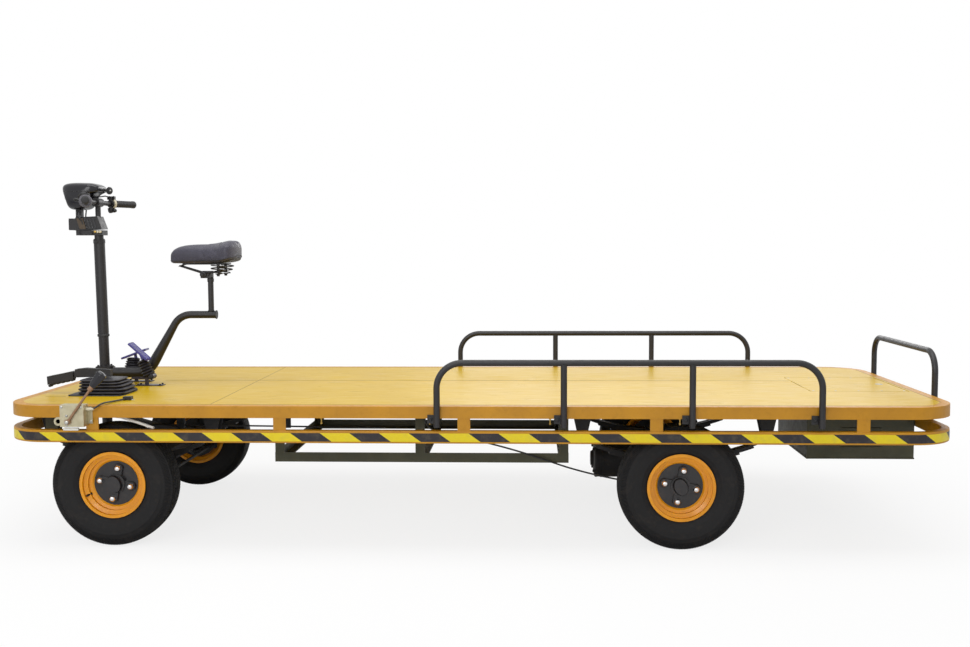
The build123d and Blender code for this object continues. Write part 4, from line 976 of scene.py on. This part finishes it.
stitches = []
for row in (-5.0, 5.0):
    for k in range(-16, 17):
        y = k * 5.6
        x = seam_x(y) + row
        ends = []
        for step in (-1.9, 1.9):
            spot, _, _, _ = skin.ray_cast(Vector((x, y + step, 1320)) / 1000, Vector(DOWN))
            if spot is not None:
                ends.append(spot * 1000 + Vector((0, 0, 0.15)))
        if len(ends) == 2:
            stitches.append(rod_along(ends, 0.55, 6))
thread = moulded("waxed_black_thread", "#3c3a44", "#232228", 0.6, 0.8)
make_piece("saddle_stitches", stitches, thread, "chassis")

PAN_ROWS = 30
pan_rings = []
for i in range(PAN_ROWS):
    x = -1404 + (1404 - 1100) * i / (PAN_ROWS - 1)
    _, _, low, half = between(SADDLE_ROWS, x)
    w = half - min(16, half * 0.4)
    pan_rings.append([(x, w, low + 3), (x, w - 3, low - 0.4), (x, -w + 3, low - 0.4), (x, -w, low + 3)])
make_piece("saddle_pan", [lofted(pan_rings)], grip_rubber, "chassis")
print(len(stitches), "stitches")

# %% [markdown]
# ## Saddle springs and clamp
#
# Two coil springs carry the saddle's tail. Each is a helix of 6 mm wire that widens upwards round its bolt. The
# clamp that grips the post has round cheeks with a nut on each side.

# %% Saddle springs
springs = []
for side in SIDES:
    line = []
    for k in range(121):
        t = k / 120
        a = 2 * pi * 2.4 * t * side
        r = 17 + 17 * min(1, t * 1.5)
        line.append((-1180 + r * cos(a), side * 60 + r * sin(a), 1104 + 38 * t))
    foot = (-1182, side * 60, 1100)
    springs += [rod_along(line, 2.9, 8), turned([(0, 9), (1, 15), (3, 15), (4, 9)], foot, Z)]
    springs += hex_bolt(foot, DOWN, 13, 9, 7)
make_piece("saddle_springs", springs, tube_powder, "chassis")
cheeks = []
for side in SIDES:
    cheeks.append(turned([(0, 15), (5, 15), (7, 12), (7.2, 3)], (-1262, side * 24, 1099), (0, side, 0), 28))
    cheeks += hex_bolt((-1262, side * 31, 1099), (0, side, 0), 13, 9, 7)
    cheeks += hex_bolt((-1240, side * 24, 1099), (0, side, 0), 10, 7, 5)
cheeks.append(turned([(0, 13), (1, 15), (16, 15), (18, 13)], (-1236, 0, 1064), Z, 28))
cheeks.append(turned([(0, 14), (1, 14.6), (4, 14.6), (6, 12.9)], (-1236, 0, 930), Z, 28))
make_piece("saddle_clamp", cheeks, tube_powder, "chassis")
print(len(springs), "spring shapes")

# %% [markdown]
# ## Pleated boot
#
# A square rubber boot closes the slot of the parking brake's lever. Rubber folds in soft pleats: each one is a
# rounded ring with a thick lip, and the pleats slump a little because the lever rests on them. The boot is drawn
# as rings from the flange up and rounded by subdivision. It isn't cloth, so it isn't blown up.

# %% Pleated boot
PLEATS = (
    (-1596, 598, 612, 212, 180), (-1599, 612, 626, 208, 172), (-1603, 626, 639, 194, 166),
    (-1609, 639, 651, 182, 160), (-1612, 651, 661.5, 173, 152),
)


def rounded_ring(x, y, z, length, width, corner):
    """Points of a rounded rectangle that lies flat."""
    return [Vector((x + powered(c, corner) * length / 2, y + powered(s, corner) * width / 2, z))
            for c, s in circle(56, 0.5)]


rings = []
for x, low, high, length, width in PLEATS:
    for rise, inset in ((0.0, 13), (0.18, 4), (0.4, 0.5), (0.66, 0), (0.88, 5), (1.0, 13)):
        z = low + (high - low) * rise
        rings.append(rounded_ring(x, BRAKE_LEVER_Y, z, length - 2 * inset, width - 2 * inset, 0.3))
for length, width, z in ((130, 110, 661.4), (80, 70, 661.9), (30, 28, 662)):
    rings.append(rounded_ring(-1620, BRAKE_LEVER_Y, z, length, width, 0.6))
for i, ring in enumerate(rings[1:-3], 1):
    for p in ring:
        sag = noise.noise(Vector((p.x / 55, p.y / 55, i * 0.35)))
        p.z -= 2.4 * max(0, sag) * min(1, (p.z - 596) / 20)
        p.x += 2.2 * noise.noise(Vector((p.y / 40, p.z / 26, 4.0)))
        p.y += 2.2 * noise.noise(Vector((p.x / 48, p.z / 26, 9.0)))
boot = make_piece("pleated_boot", [lofted(rings)], boot_rubber, "chassis", levels=1)
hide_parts("gaiter")
flange = [lofted([rounded_ring(-1616, BRAKE_LEVER_Y, z, 238 - 2 * w, 214 - 2 * w, 0.22)
                  for w, z in ((0, 595.1), (0, 597.4), (1.2, 598.4), (30, 598.6))])]
rivet = [(0, 5), (1.5, 5), (2.6, 3.6), (3, 1.2)]
flange += [turned(rivet, (x, y, 598.3), Z, 16) for x in (-1725, -1654, -1580, -1507) for y in (-427, -233)]
make_piece("boot_flange", flange, grip_rubber, "chassis")
print(len(rings), "rings in the boot")

# %% [markdown]
# ## Pedals: boots, ribs and springs
#
# Each pedal's arm comes out of a ribbed rubber bellows. The bellows is turned with a wave as its profile. Thin
# ribs across each plate keep the shoe from slipping, and a nut closes each pivot.

# %% Pedal trim


def bellows(start, end, wide, narrow, folds):
    """A ribbed rubber sleeve between two places."""
    run = Vector(end) - Vector(start)
    profile = [(0, narrow * 0.5)]
    for k in range(folds * 6 + 1):
        t = k / (folds * 6)
        profile.append((run.length * t, wide + (narrow - wide) * t + 3.6 * cos(2 * pi * folds * t + pi)))
    profile.append((run.length, narrow * 0.35))
    return turned(profile, start, run, 28)


PEDAL_ROWS = (
    (-75, (-1506, 712), (-1592, 789), (-1506, 641), (-1537, 712), 27, 21, 6),
    (75, (-1685, 703), (-1567, 747), (-1636, 651), (-1634, 706), 42, 27, 5),
)
boots, ribs = [], []
for y, low, high, foot, neck, wide, narrow, folds in PEDAL_ROWS:
    boots.append(bellows((foot[0], y, foot[1]), (neck[0], y, neck[1]), wide, narrow, folds))
    slope = Vector((high[0] - low[0], 0, high[1] - low[1]))
    length = slope.length
    slope.normalize()
    out = slope.cross(Vector(Y))
    out = out if out.z > 0 else -out
    for k in range(1, int(length / 9)):
        middle = Vector((low[0], y, low[1])) + slope * 9 * k + out * 3.4
        ribs.append(rod_along([middle - Vector((0, 25, 0)), middle + Vector((0, 25, 0))], 1.7, 6))
    edge = []
    for u, v in ((4, -26), (length - 4, -26), (length - 4, 26), (4, 26)):
        edge.append(Vector((low[0], y + v, low[1])) + slope * u + out * 3.6)
    ribs.append(rod_along(edge, 1.9, 6, closed=True))
make_piece("pedal_boots", boots, boot_rubber, "chassis")
make_piece("pedal_ribs", ribs, pedal_paint, "chassis")
pivots = []
for pivot, y in ((-1492, -75), (-1597, 75)):
    for side in SIDES:
        pivots += hex_bolt((pivot, y + side * 20, 638), (0, side, 0), 17, 11, 7)
    pivots += hex_bolts([(x, y + side * 17, 599) for x in (pivot - 60, pivot + 40) for side in SIDES], Z, 8, 5.5, 4)
make_piece("pedal_pivots", pivots, chassis_paint, "chassis")
print(len(boots), "bellows,", len(ribs), "ribs")

# %% [markdown]
# ## Parking brake grip
#
# The brake's grip is moulded with a row of finger bumps below and a hook at its front end. The bumps are short
# rollers across the lever. A rubber cover with rounded edges lies over the top of the lever.

# %% Brake grip
ROLLERS = [(-1834 + 21 * k, 637.5 + 4.125 * k, 8 - k / 4, 0.7) for k in range(5)] + [(-1848, 628, 6, 2 / 3)]
bumps = [turned([(-14, r * end), (-12.5, r), (12.5, r), (14, r * end)], (x, BRAKE_LEVER_Y, z), Y, 18)
         for x, z, r, end in ROLLERS]
make_piece("brake_grip_bumps", bumps, grip_rubber, "chassis")
STRAPS = ((12.5, 3.2, ((-1846, 667.5), (-1800, 676.5), (-1748, 687.5))),
          (11.5, 3.0, ((-1733, 697), (-1690, 702), (-1584, 696))))
strap = []
for side in SIDES:
    for y, radius, run in STRAPS:
        strap.append(rod_along([(x, BRAKE_LEVER_Y + side * y, z) for x, z in run], radius, 8))
    strap += hex_bolt((-1640, BRAKE_LEVER_Y + side * 14, 682), (0, side, 0), 12, 9, 5)
make_piece("brake_lever_edges", strap, lever_paint, "chassis")
print(len(bumps), "bumps")

# %% [markdown]
# ## Lever box, knob and cable ends
#
# The shift lever's box is a folded zinc plated case with domed rivets, a bright strip along its rear edge and
# screws in its ears. The lever ends in a squared black knob. A pale ferrule holds the cable where it leaves the
# box, a clip screws it to the floor, and a pale strip lies on the bumper bar under the box. A white sleeve runs back
# under the platform's edge: its white is painted light that stands in for the bright backdrop seen through there.

# %% Lever box trim
RIVETS, EARS = ((-1598, 561), (-1598, 524), (-1618, 596), (-1540, 596)), (-1635, -1519)
box_trim = [turned([(0, 5.5), (1.2, 5.2), (2.8, 3.4), (3.4, 1)], (x, -745, z), LEFT, 20) for x, z in RIVETS]
box_trim += hex_bolts([(x, -703.3, z) for x in EARS for z in (532, 584)], LEFT, 8, 6, 4)
grommet = [(-3, 9), (-3, 17), (0, 18), (2.2, 17), (2.2, 9), (-3, 9)]
box_trim += wearing(1, turned(grommet, (-1651, -703, 532), LEFT, 32),
                    bar((-1549, -1530), (-745.8, -744.9), (518.5, 602.5)),
                    bar((-1624, -1530), (-745.6, -744.9), (600, 603.4)))
box_trim.append(turned([(0, 8), (5, 8), (6, 6.5), (8, 6.5), (9, 4)], (-1592, -757.4, 537), LEFT, 20))
make_piece("lever_box_trim", box_trim, [bright_zinc, zinc_plate], "chassis", bevel=0.3)
low, high = Vector((-1488, -750, 680)), Vector((-1450, -744, 728))
knob_axis = (high - low).normalized()
knob = [turned([(-4, 10), (-2, 14.5), (4, 16.5), (48, 22), (57, 23), (63, 20), (66, 12)], low, knob_axis, 6)]
knob += wearing(1, turned([(-22, 8.5), (-20, 10), (-4, 10), (-3, 8.5)], low, knob_axis, 20))
make_piece("shift_knob", knob, [cowl_plastic, dull_bronze], "chassis", bevel=1.6)
cable_ends = [turned([(0, 4.5), (2, 6), (16, 6), (18, 5), (30, 4.6), (32, 3.9)], (-1529.5, -722, 585), X, 20)]
screw = [(0, 4.6), (1.5, 4.4), (2.6, 2.6), (2.8, 1)]
cable_ends += wearing(1, bar((-1459, -1405), (-548, -530), (595.1, 597.2)),
                      *(turned(screw, (x, -539, 597), Z, 16) for x in (-1452, -1412)))
# The sleeve is white as painted light: it stands in for the bright backdrop seen through there, not for its own
# colour.
sleeve = [(-1445, -643, 544), (-1420, -645, 541), (-1392, -650, 534), (-1350, -654, 522), (-1307, -658, 508),
          (-1280, -662, 500)]
cable_ends += wearing(2, bar((-1628, -1567), (-712, -700.2), (497.1, 507)), rod_along(sleeve, 6))
make_piece("cable_ends", cable_ends, [pale_plastic, bright_zinc, white_strip_and_painted_light], "chassis",
           bevel=0.4)
print(len(box_trim), "box fittings")

# %% [markdown]
# ## Headlamp cowl
#
# The cowl is a moulded ABS shell with a round shoulder. It is drawn as rings along the cart: the rings lean at
# the front, where the lamp's face slopes back, and close in to a tongue over the bar at the rear. Subdivision
# rounds it. A thin parting line runs round it where its two halves meet.

# %% Cowl
COWL_ROWS = (  # place at mid height, lean, low edge, high edge, half width
    (-1888, -0.3, 1412, 1492, 40), (-1884, -0.3, 1402, 1503, 50), (-1874, -0.3, 1397, 1512, 60),
    (-1858, -0.24, 1396, 1517.5, 68), (-1836, -0.14, 1396, 1520, 74), (-1808, -0.05, 1397, 1519.5, 77),
    (-1792, 0.0, 1405, 1519, 77), (-1781, 0.0, 1430, 1518.5, 76), (-1771, 0.0, 1455, 1518, 75),
    (-1759, 0.0, 1466, 1516.5, 72), (-1743, 0.0, 1471, 1512, 63), (-1732, 0.0, 1476, 1506, 54),
    (-1727, 0.0, 1481, 1500, 42),
)


def cowl_ring(row):
    """One ring of the cowl, rounder above than below."""
    x, lean, low, high, half = row
    middle, rise = (low + high) / 2, (high - low) / 2
    ring = []
    for c, s in circle(40, 0.5):
        z = middle + rise * powered(s, 0.62 if s > 0 else 0.42)
        ring.append(Vector((x + lean * (z - 1450), half * powered(c, 0.5), z)))
    return ring


cowl_skin = lofted([cowl_ring(row) for row in COWL_ROWS])
cowl = make_piece("headlamp_cowl_shell", [cowl_skin], cowl_plastic,
                  "steering", levels=2, smooth_below=60)
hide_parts("headlamp_cowl")
shell = BVHTree.FromPolygons(*cowl_skin)
parting = []
for side in SIDES:
    run = []
    for k in range(24):
        x = -1890 + 160 * k / 23
        spot, way, _, _ = shell.ray_cast(Vector((x, side * 200, 1478)), Vector((0, -side, 0)))
        if spot is not None:
            run.append(spot - way * 0.2 if way.y * side < 0 else spot + way * 0.2)
    parting.append(rod_along(run, 1.3, 6))
make_piece("cowl_parting_line", parting, grip_rubber, "steering")

# %% [markdown]
# ## Headlamp glass and reflector
#
# Behind the glass sits a chromed bowl with a bulb, in a dark rim. The glass is a shallow oval dome with upright
# flutes. Bowl, rim and glass are ovals stacked along the direction in which the lamp looks.

# %% Lamp
LAMP_OUT = Vector((-0.958, 0, -0.287)).normalized()
LAMP_UP = Vector((-0.287, 0, 0.958)).normalized()
LAMP_MIDDLE = Vector((-1886.5, 0, 1452))


def lamp_oval(width, height, ahead):
    """An oval round the lamp's middle, some way in front of the cowl's face."""
    middle = LAMP_MIDDLE + LAMP_OUT * ahead
    return [middle + Vector((0, c * width, 0)) + LAMP_UP * s * height for c, s in circle(48)]


def lamp_stack(rows, closed_ends=True):
    """A skin over ovals of the lamp."""
    return lofted([lamp_oval(*row) for row in rows], closed_ends)


bowl = ((33, 29, 2.5), (31, 27, 1.5), (24, 21, 1.0), (16, 14, 0.7), (8, 8, 0.6), (6, 6, 5.0), (3, 3, 6.0))
rim = ((39, 35, -1.5), (39, 35, 1.5), (37, 33, 3.4), (34.5, 30.5, 3.2), (34, 30, 1.0))
make_piece("lamp_bowl", [lamp_stack(bowl)], bright_chrome, "steering")
make_piece("lamp_rim", [lamp_stack(rim, closed_ends=False)], lever_paint, "steering")
dome = [(34.6 * s, 30.6 * s, h) for s, h in
        ((1.0, 2.4), (1.0, 3.4), (0.94, 5.6), (0.8, 8.2), (0.6, 10.2), (0.36, 11.4), (0.12, 11.9))]
glass = make_piece("lamp_glass", [lamp_stack(dome)], lens_plastic, "steering", smooth_below=60)
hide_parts("headlamp_lens")
print("lamp looks along", [round(c, 2) for c in LAMP_OUT])

# %% [markdown]
# ## Grips
#
# The grips are rubber sleeves with fine rings along them and a raised end. Each is turned along the swept end of
# the bar. The ring spacing of 5 mm is what the eye sees as a fluted sleeve at this size.

# %% Grips
GRIP_OUT = 120
BEND, TIP = Vector((-1752, 135, 1430)), Vector((-1692, 280, 1430))


def grip_profile():
    """Rows of one grip from its collar to its closed end."""
    rows = [(-4, 12), (-3.6, 15.6), (0, 16.4), (6, 17.2), (9, 16.0)]
    for k in range(19):
        s = 11 + 5 * k
        rows += [(s, 15.4), (s + 1.2, 16.3), (s + 3.4, 16.3), (s + 4.6, 15.4)]
    return rows + [(108, 16.4), (110, 17.4), (121, 17.4), (124.5, 15.6), (126, 11), (126.2, 3)]


grip_shapes = []
for side in SIDES:
    tip = Vector((TIP.x, side * TIP.y, TIP.z))
    run = (Vector((TIP.x - BEND.x, side * (TIP.y - BEND.y), 0))).normalized()
    grip_shapes.append(turned(grip_profile(), tip - run * GRIP_OUT, run, 32))
grip_pair = make_piece("ribbed_grips", grip_shapes, grip_rubber, "steering", smooth_below=50)
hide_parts("grips")

# %% [markdown]
# ## Controls on the bar
#
# The collars beside the grips have a raised bead. Both are the same cream part: the far one is cream, and the near
# one is drawn grey as painted shade. A rubber bulb and a pod hang under the far grip, a perch with screws sits on
# each clamp, and the ignition key's round head stands behind the cowl. Black cables run from the perches to the
# switch box.

# %% Bar controls
controls = []


def on_bar_end(side, back, up=0.0):
    """A place on the swept end of the bar."""
    run = Vector((TIP.x - BEND.x, TIP.y - BEND.y, 0)).normalized()
    spot = TIP - run * back
    return Vector((spot.x, side * spot.y, spot.z + up))


def bar_end_way(side):
    """The direction of the bar's swept end."""
    return (0.382, side * 0.924, 0)


for side in SIDES:
    spot = on_bar_end(side, 143)
    controls.append(bar((spot.x - 17, spot.x + 17), (spot.y - 10, spot.y + 10), (1449, 1465)))
    for x in (spot.x - 10, spot.x + 10):
        controls.append(turned([(0, 3.4), (1, 3.2), (1.8, 1.6)], (x, spot.y, 1465), Z, 14))
    controls.append(turned([(-9, 17.5), (-8, 19.5), (-2, 19.8), (-1, 17.5)], spot, bar_end_way(side), 28))
pod = on_bar_end(1, 152, -19)
controls += [
    turned([(0, 9), (1, 13), (18, 13), (24, 9), (25, 4)], pod, (0.2, 0, -1)),
    turned([(0, 6), (8, 6), (12, 9.3), (18, 9.8), (24, 8), (28, 4), (29, 1.5)],
           pod + Vector((2, 0, -12)), (1, 0, -0.05)),
    turned([(0, 6), (17, 6), (19, 9), (26, 9)], (-1736, -20, 1487), (1, 0, -0.1), 20),
    turned([(-2, 8), (0, 15), (3, 17), (7, 17), (10, 14), (11, 4)], (-1683, -26, 1482), (-0.25, -1, 0), 28),
    rod_along([(-1712, -20, 1486), (-1698, -21, 1484), (-1686, -22, 1482)], 4.6),
]
controls += wearing(1, turned([(0, 4.6), (1.6, 4.2), (2.4, 1.5)], (-1677, -37.5, 1482), (-0.25, -1, 0), 20))
make_piece("bar_controls", controls, [lever_paint, bright_zinc], "steering", bevel=0.8)

# The near collar's grey is painted shade: it is the same cream part as the far one.
near_collar_painted_shade = moulded("grey_moulded_flange", "#6d6b73", "#454349", 0.28, 3.0, 0.15)
beads = []
for side, kind, wide, back in ((-1, 1, 28.5, 128), (1, 0, 25.6, 138)):
    rows = [(-6.5, 18), (-6.4, wide - 1.6), (-4, wide), (3, wide), (6.4, wide - 2.2), (6.5, 18)]
    beads += wearing(kind, turned(rows, on_bar_end(side, back), bar_end_way(side), 40))
collar_pair = make_piece("collar_rings", beads, [pale_plastic, near_collar_painted_shade], "steering",
                         smooth_below=50)
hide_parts("grip_collars")

cables = []
for side in SIDES:
    top = on_bar_end(side, 150, 30)
    line = [(-1800, 96, 1458), (-1822, 60, 1426), (-1824, 40, 1396), (-1824, 33, 1372), (-1822, 28, 1352)]
    line = [top, top + Vector((-22, -side * 6, 6))] + [(x, side * y, z) for x, y, z in line]
    cables.append(rod_along(line, 3.0, 8))
line = [(-1820, -31, 1412), (-1834, -41, 1388), (-1830, -41, 1362), (-1812, -40.5, 1346), (-1808, -39, 1330)]
cables.append(rod_along(line, 3.4, 8))
make_piece("bar_cables", cables, cable_sheath, "steering")
print(len(controls), "control shapes")

# %% [markdown]
# ## Switch box
#
# The switch box under the cowl is a ribbed moulded case with a screwed front plate. A brown strap holds the
# cables against it, and pale and brass fittings show in the gap above the column's clamp plate.

# %% Switch box trim
case = [rod_along([(x - 3, y, 1357), (x + 9, y, 1311)], 2.2, 8)
        for x in (-1800, -1786, -1772, -1758) for y in (-36.6, 36.6)]
seam = [(-1842, -36, 1360), (-1744, -36, 1364.5), (-1744, 36, 1364.5), (-1842, 36, 1360)]
case.append(rod_along(seam, 2.4, 8, closed=True))
for x, z in ((-1838, 1350), (-1832, 1312), (-1752, 1354), (-1738, 1314)):
    case.append(turned([(0, 2.6), (0.8, 2.4), (1.4, 1.2)], (x, -36, z), LEFT, 14))
strap = [(-1838, 1358), (-1808, 1358), (-1794, 1309), (-1824, 1309)]
case += wearing(2, plate(strap, 2.2, (0, -38.4, 0), X, Z))
case.append(rod_along([(-1822, -39, 1357), (-1827, -40, 1372), (-1824, -36, 1392), (-1818, -26, 1404)], 5))
for x, kind in ((-1742, 4), (-1730, 4), (-1754, 3)):
    case += wearing(kind, turned([(0, 4.5), (1, 5.5), (9, 5.5), (10, 4)], (x, -30, 1296), LEFT, 16))
for side in SIDES:
    case += hex_bolts([(x, side * 30, 1291) for x in (-1825, -1770)], (0, side, 0), 9, 6, 4)
make_piece("switch_box_trim", case, [cowl_plastic, bright_zinc, brown_strap, yellow_brass, pale_plastic],
           "steering")
front = [bar((-1880, -1877), (-27, 27), (1309, 1352))]
front += [turned([(0, 3.6), (1.2, 3.4), (2.0, 1.8)], (-1880, y, z), AHEAD, 14)
          for y in (-20, 20) for z in (1315, 1346)]
make_piece("switch_box_front", front, lever_paint, "steering", bevel=0.8)
print(len(case), "switch box shapes")

# %% [markdown]
# ## Column collar and flange bolts
#
# The turning tube sits in a short sealing collar at its joint, and four bolts hold the fixed housing's flange to
# the pedestal. A clamp ring closes the top of the tube.

# %% Column trim
LEAN = Vector((-sin(radians(0.9)), 0, cos(radians(0.9))))
FOOT = Vector((-1740.5, 0, DECK_TOP))
spots = [FOOT + LEAN * 81.2 + Vector((31 * c, 31 * s, 0)) for c, s in circle(4, 0.5)]
flange_bolts = hex_bolts(spots, LEAN, 9, 5.8, 5)
spots = [FOOT + LEAN * 75.2 + Vector((x, y, 0)) for x in (-28, 28) for y in (-28, 28)]
flange_bolts += hex_bolts(spots, LEAN, 8, 5.5, 4)
make_piece("column_flange_bolts", flange_bolts, chassis_paint, "chassis")
seal = turned([(0, 23.5), (1, 26.5), (9, 27), (13, 25), (13.5, 22.6)], FOOT + LEAN * 218, LEAN, 40)
make_piece("column_seal", [seal], grip_rubber, "chassis")
top_ring = [turned([(0, 24.6), (0.6, 26.4), (16, 26.4), (17.5, 24.6)], FOOT + LEAN * 648, LEAN, 40)]
top_ring += hex_bolt(FOOT + LEAN * 656 + Vector((0, -26, 0)), LEFT, 10, 7, 6)
make_piece("column_top_ring", top_ring, tube_powder, "steering")
print(len(flange_bolts) // 2, "flange bolts")

# %% [markdown]
# ## Steering linkage fittings
#
# The steering is a beam axle with a knuckle on a kingpin at each end, joined by a track rod behind the axle and
# driven by a drag rod from the arm at the foot of the column. Each kingpin has a cap with a grease nipple above
# and a nut below. Castle nuts with split pins hold the rods' eyes, and clamps lock the track rod's ends.

# %% Linkage trim


def castle_nut(place):
    """Castle nut standing on a place, with its split pin."""
    spot = Vector(place)
    nut = [(0, 8.6), (4.6, 8.6), (5.2, 8.2), (5.3, 6.4), (8.2, 6.4), (8.6, 5.8), (8.7, 2)]
    pin = [spot + Vector(p) for p in ((-10, 0, 6.6), (10, 0, 6.6), (11.5, 0, 3.4))]
    return [turned(nut, spot, Z, 6), turned([(0, 9.8), (0.9, 9.8), (1, 3)], spot, Z, 20), rod_along(pin, 0.9, 6)]


def brake_plate_bolts(axle, side):
    """The ring of bolts that holds a brake plate."""
    spots = [(axle + 82 * c, side * 507.6, AXLE_Z + 82 * s) for c, s in circle(6, 0.5)]
    return hex_bolts(spots, (0, -side, 0), 12, 8, 5)


PIN_Y, ROD_X, ROD_Z, EYE_TOP = 466, 100, 226, 234.4
CAP = [(0, 19), (2, 19.6), (5, 19), (7.4, 14), (8, 6)]
NIPPLE = [(0, 3.4), (2, 3.4), (2.6, 2.2), (6, 2.2), (7.6, 3.0), (8.6, 1.6)]
for name, side, ends in (("left", -1, (1, -1)), ("right", 1, (1,))):
    pin = Vector((FRONT_AXLE, side * PIN_Y, 0))
    top, low = pin + Vector((0, 0, 302.3)), pin + Vector((0, 0, 205.7))
    caps = [turned(CAP, top, Z, 32), turned(NIPPLE, pin + Vector((0, 0, 310)), Z, 14),
            turned([(0, 16), (2, 16), (2.4, 4)], low, DOWN, 28),
            turned([(2.4, 12.4), (11, 12.4), (12, 10.8), (12.1, 3)], low, DOWN, 6)]
    for way in ends:
        caps += castle_nut(pin + Vector((way * ROD_X, 0, EYE_TOP)))
    caps += brake_plate_bolts(FRONT_AXLE, side)
    caps += hex_bolts([(FRONT_AXLE - 24, side * 500, z) for z in (223, 285)], AHEAD, 10, 7, 5)
    make_piece(f"kingpin_fittings_{name}", caps, chassis_paint, f"steer_knuckle_{name}")
sleeves = []
for side in SIDES:
    inward, x = (0, -side, 0), FRONT_AXLE + ROD_X
    for start, turns in ((405, 6), (380, 24)):
        sleeves.append(turned([(0, 8), (0.5, 10.8), (9, 10.8), (9.5, 8)], (x, side * start, ROD_Z), inward, turns))
    sleeves.append(turned([(0, 8), (1, 9.4), (58, 9.4), (59, 8)], (x, side * 392, ROD_Z), inward))
    sleeves += hex_bolt((x + 9, side * 366, ROD_Z), X, 8, 5, 5)
make_piece("track_rod_clamps", sleeves, chassis_paint, "track_rod")
knuckle_end, arm_end = Vector((FRONT_AXLE - ROD_X, -PIN_Y, ROD_Z)), Vector((-1834.7, 0, ROD_Z))
run = (arm_end - knuckle_end).normalized()
rod_trim = []
for spot, way in ((knuckle_end + run * 60, run), (arm_end - run * 60, -run)):
    rod_trim.append(turned([(0, 7.2), (0.5, 10.6), (9, 10.6), (9.5, 7.2)], spot, way, 6))
    rod_trim.append(turned([(12, 7.2), (13, 9.2), (50, 9.2), (51, 7.2)], spot, way, 24))
make_piece("drag_rod_clamps", rod_trim, chassis_paint, "drag_rod")
make_piece("pitman_nuts", castle_nut((arm_end.x, 0, EYE_TOP)), chassis_paint, "steering")
print("linkage fittings on both knuckles")

# %% [markdown]
# ## Motor, gear case and brakes at the rear
#
# The drive motor is a steel barrel with a cast end cover, two bands, through bolts and a terminal box. The gear
# case is split down its middle, and a ring of bolts joins its halves. The rear brake plates are bolted too.

# %% Rear drive trim
cover = [(-6, 86.6), (0, 86.6), (5, 83), (9, 60), (10, 40), (16, 34), (22, 32), (23, 10)]
drive = [turned(cover, (527.5, 0, AXLE_Z), AHEAD, 48)]
for x in (548, 700, 762):
    drive.append(turned([(0, 85.2), (0.4, 87.2), (9, 87.2), (9.4, 85.2)], (x, 0, AXLE_Z), X, 48))
drive += hex_bolts([(520, 70 * c, AXLE_Z + 70 * s) for c, s in circle(4, 0.5)], AHEAD, 12, 8, 6)
drive.append(bar((600, 690), (-34, 34), (336, 362)))
for y in (-22, 0, 22):
    drive.append(turned([(0, 6), (6, 6), (6.5, 4), (12, 4), (12.5, 2)], (600, y, 349), AHEAD, 12))
drive.append(turned([(-7, 95.2), (-6.6, 99), (6.6, 99), (7, 95.2)], (REAR_AXLE, 0, AXLE_Z), Y, 64))
cover_bolts = [(REAR_AXLE + 90 * c, 65.2, AXLE_Z + 90 * s) for c, s in circle(9, -130 / 40)[:8]]
drive += hex_bolts(cover_bolts, Y, 11, 8, 5)
drive.append(turned([(0, 12), (5, 12), (5.6, 7), (11, 7), (11.4, 3)], (928, 0, 270), (1, 0, 0.1), 6))
for side in SIDES:
    drive += brake_plate_bolts(REAR_AXLE, side)
make_piece("rear_drive_trim", drive, chassis_paint, "chassis", bevel=0.8)
print(len(drive), "drive shapes")

# %% [markdown]
# ## Rear box, tray and lid
#
# The rear box has louvres pressed in its back and sides for cooling, folded edges and rows of screws. The
# battery tray's angle bars are joined by gussets with bolts, and the lid is held by countersunk screws.

# %% Box and tray trim
louvres = []
for z in range(360, 441, 16):
    louvres.append(plate([(0, 0), (5, 4), (5, 6), (0, 9)], 170, (1867, 85, z), X, Z))
    for side in SIDES:
        louvres.append(rod_along([(1560, side * 265.4, z), (1730, side * 265.4, z)], 3.2, 8))
for x in (1428, 1500, 1572, 1644, 1716, 1788, 1854):
    for side in SIDES:
        louvres += hex_bolt((x, side * 265, 490), (0, side, 0), 8, 6, 4)
mouth = [(1415, -265, 310), (1867, -265, 310), (1867, 265, 310), (1415, 265, 310)]
louvres.append(rod_along(mouth, 3.4, 8, closed=True))
make_piece("rear_box_trim", louvres, olive_paint, "chassis")
gussets = []
for x in (-846, 391):
    way = 1 if x < 0 else -1
    for side in SIDES:
        y = side * 430
        outline = ((x + way * 4, y - side * 4), (x + way * 66, y - side * 4), (x + way * 4, y - side * 66))
        gussets.append(plate(outline if way * side < 0 else outline[::-1], 4, (0, 0, 322), X, Y))
        gussets += hex_bolts([(x + way * u, y - side * v, 326) for u, v in ((20, 38), (38, 20))], Z, 10, 7, 5)
make_piece("tray_gussets", gussets, olive_paint, "chassis")
screw = [(-0.2, 4.8), (0.5, 4.6), (0.9, 3.4), (0.7, 1.5)]
screws = [turned(screw, (x, side * 224, DECK_TOP), Z, 16) for x in (1450, 1545, 1642, 1740, 1835) for side in SIDES]
make_piece("lid_screws", screws, bright_zinc, "hatch")
print(len(louvres), "box shapes,", len(gussets), "gusset shapes,", len(screws), "screws")
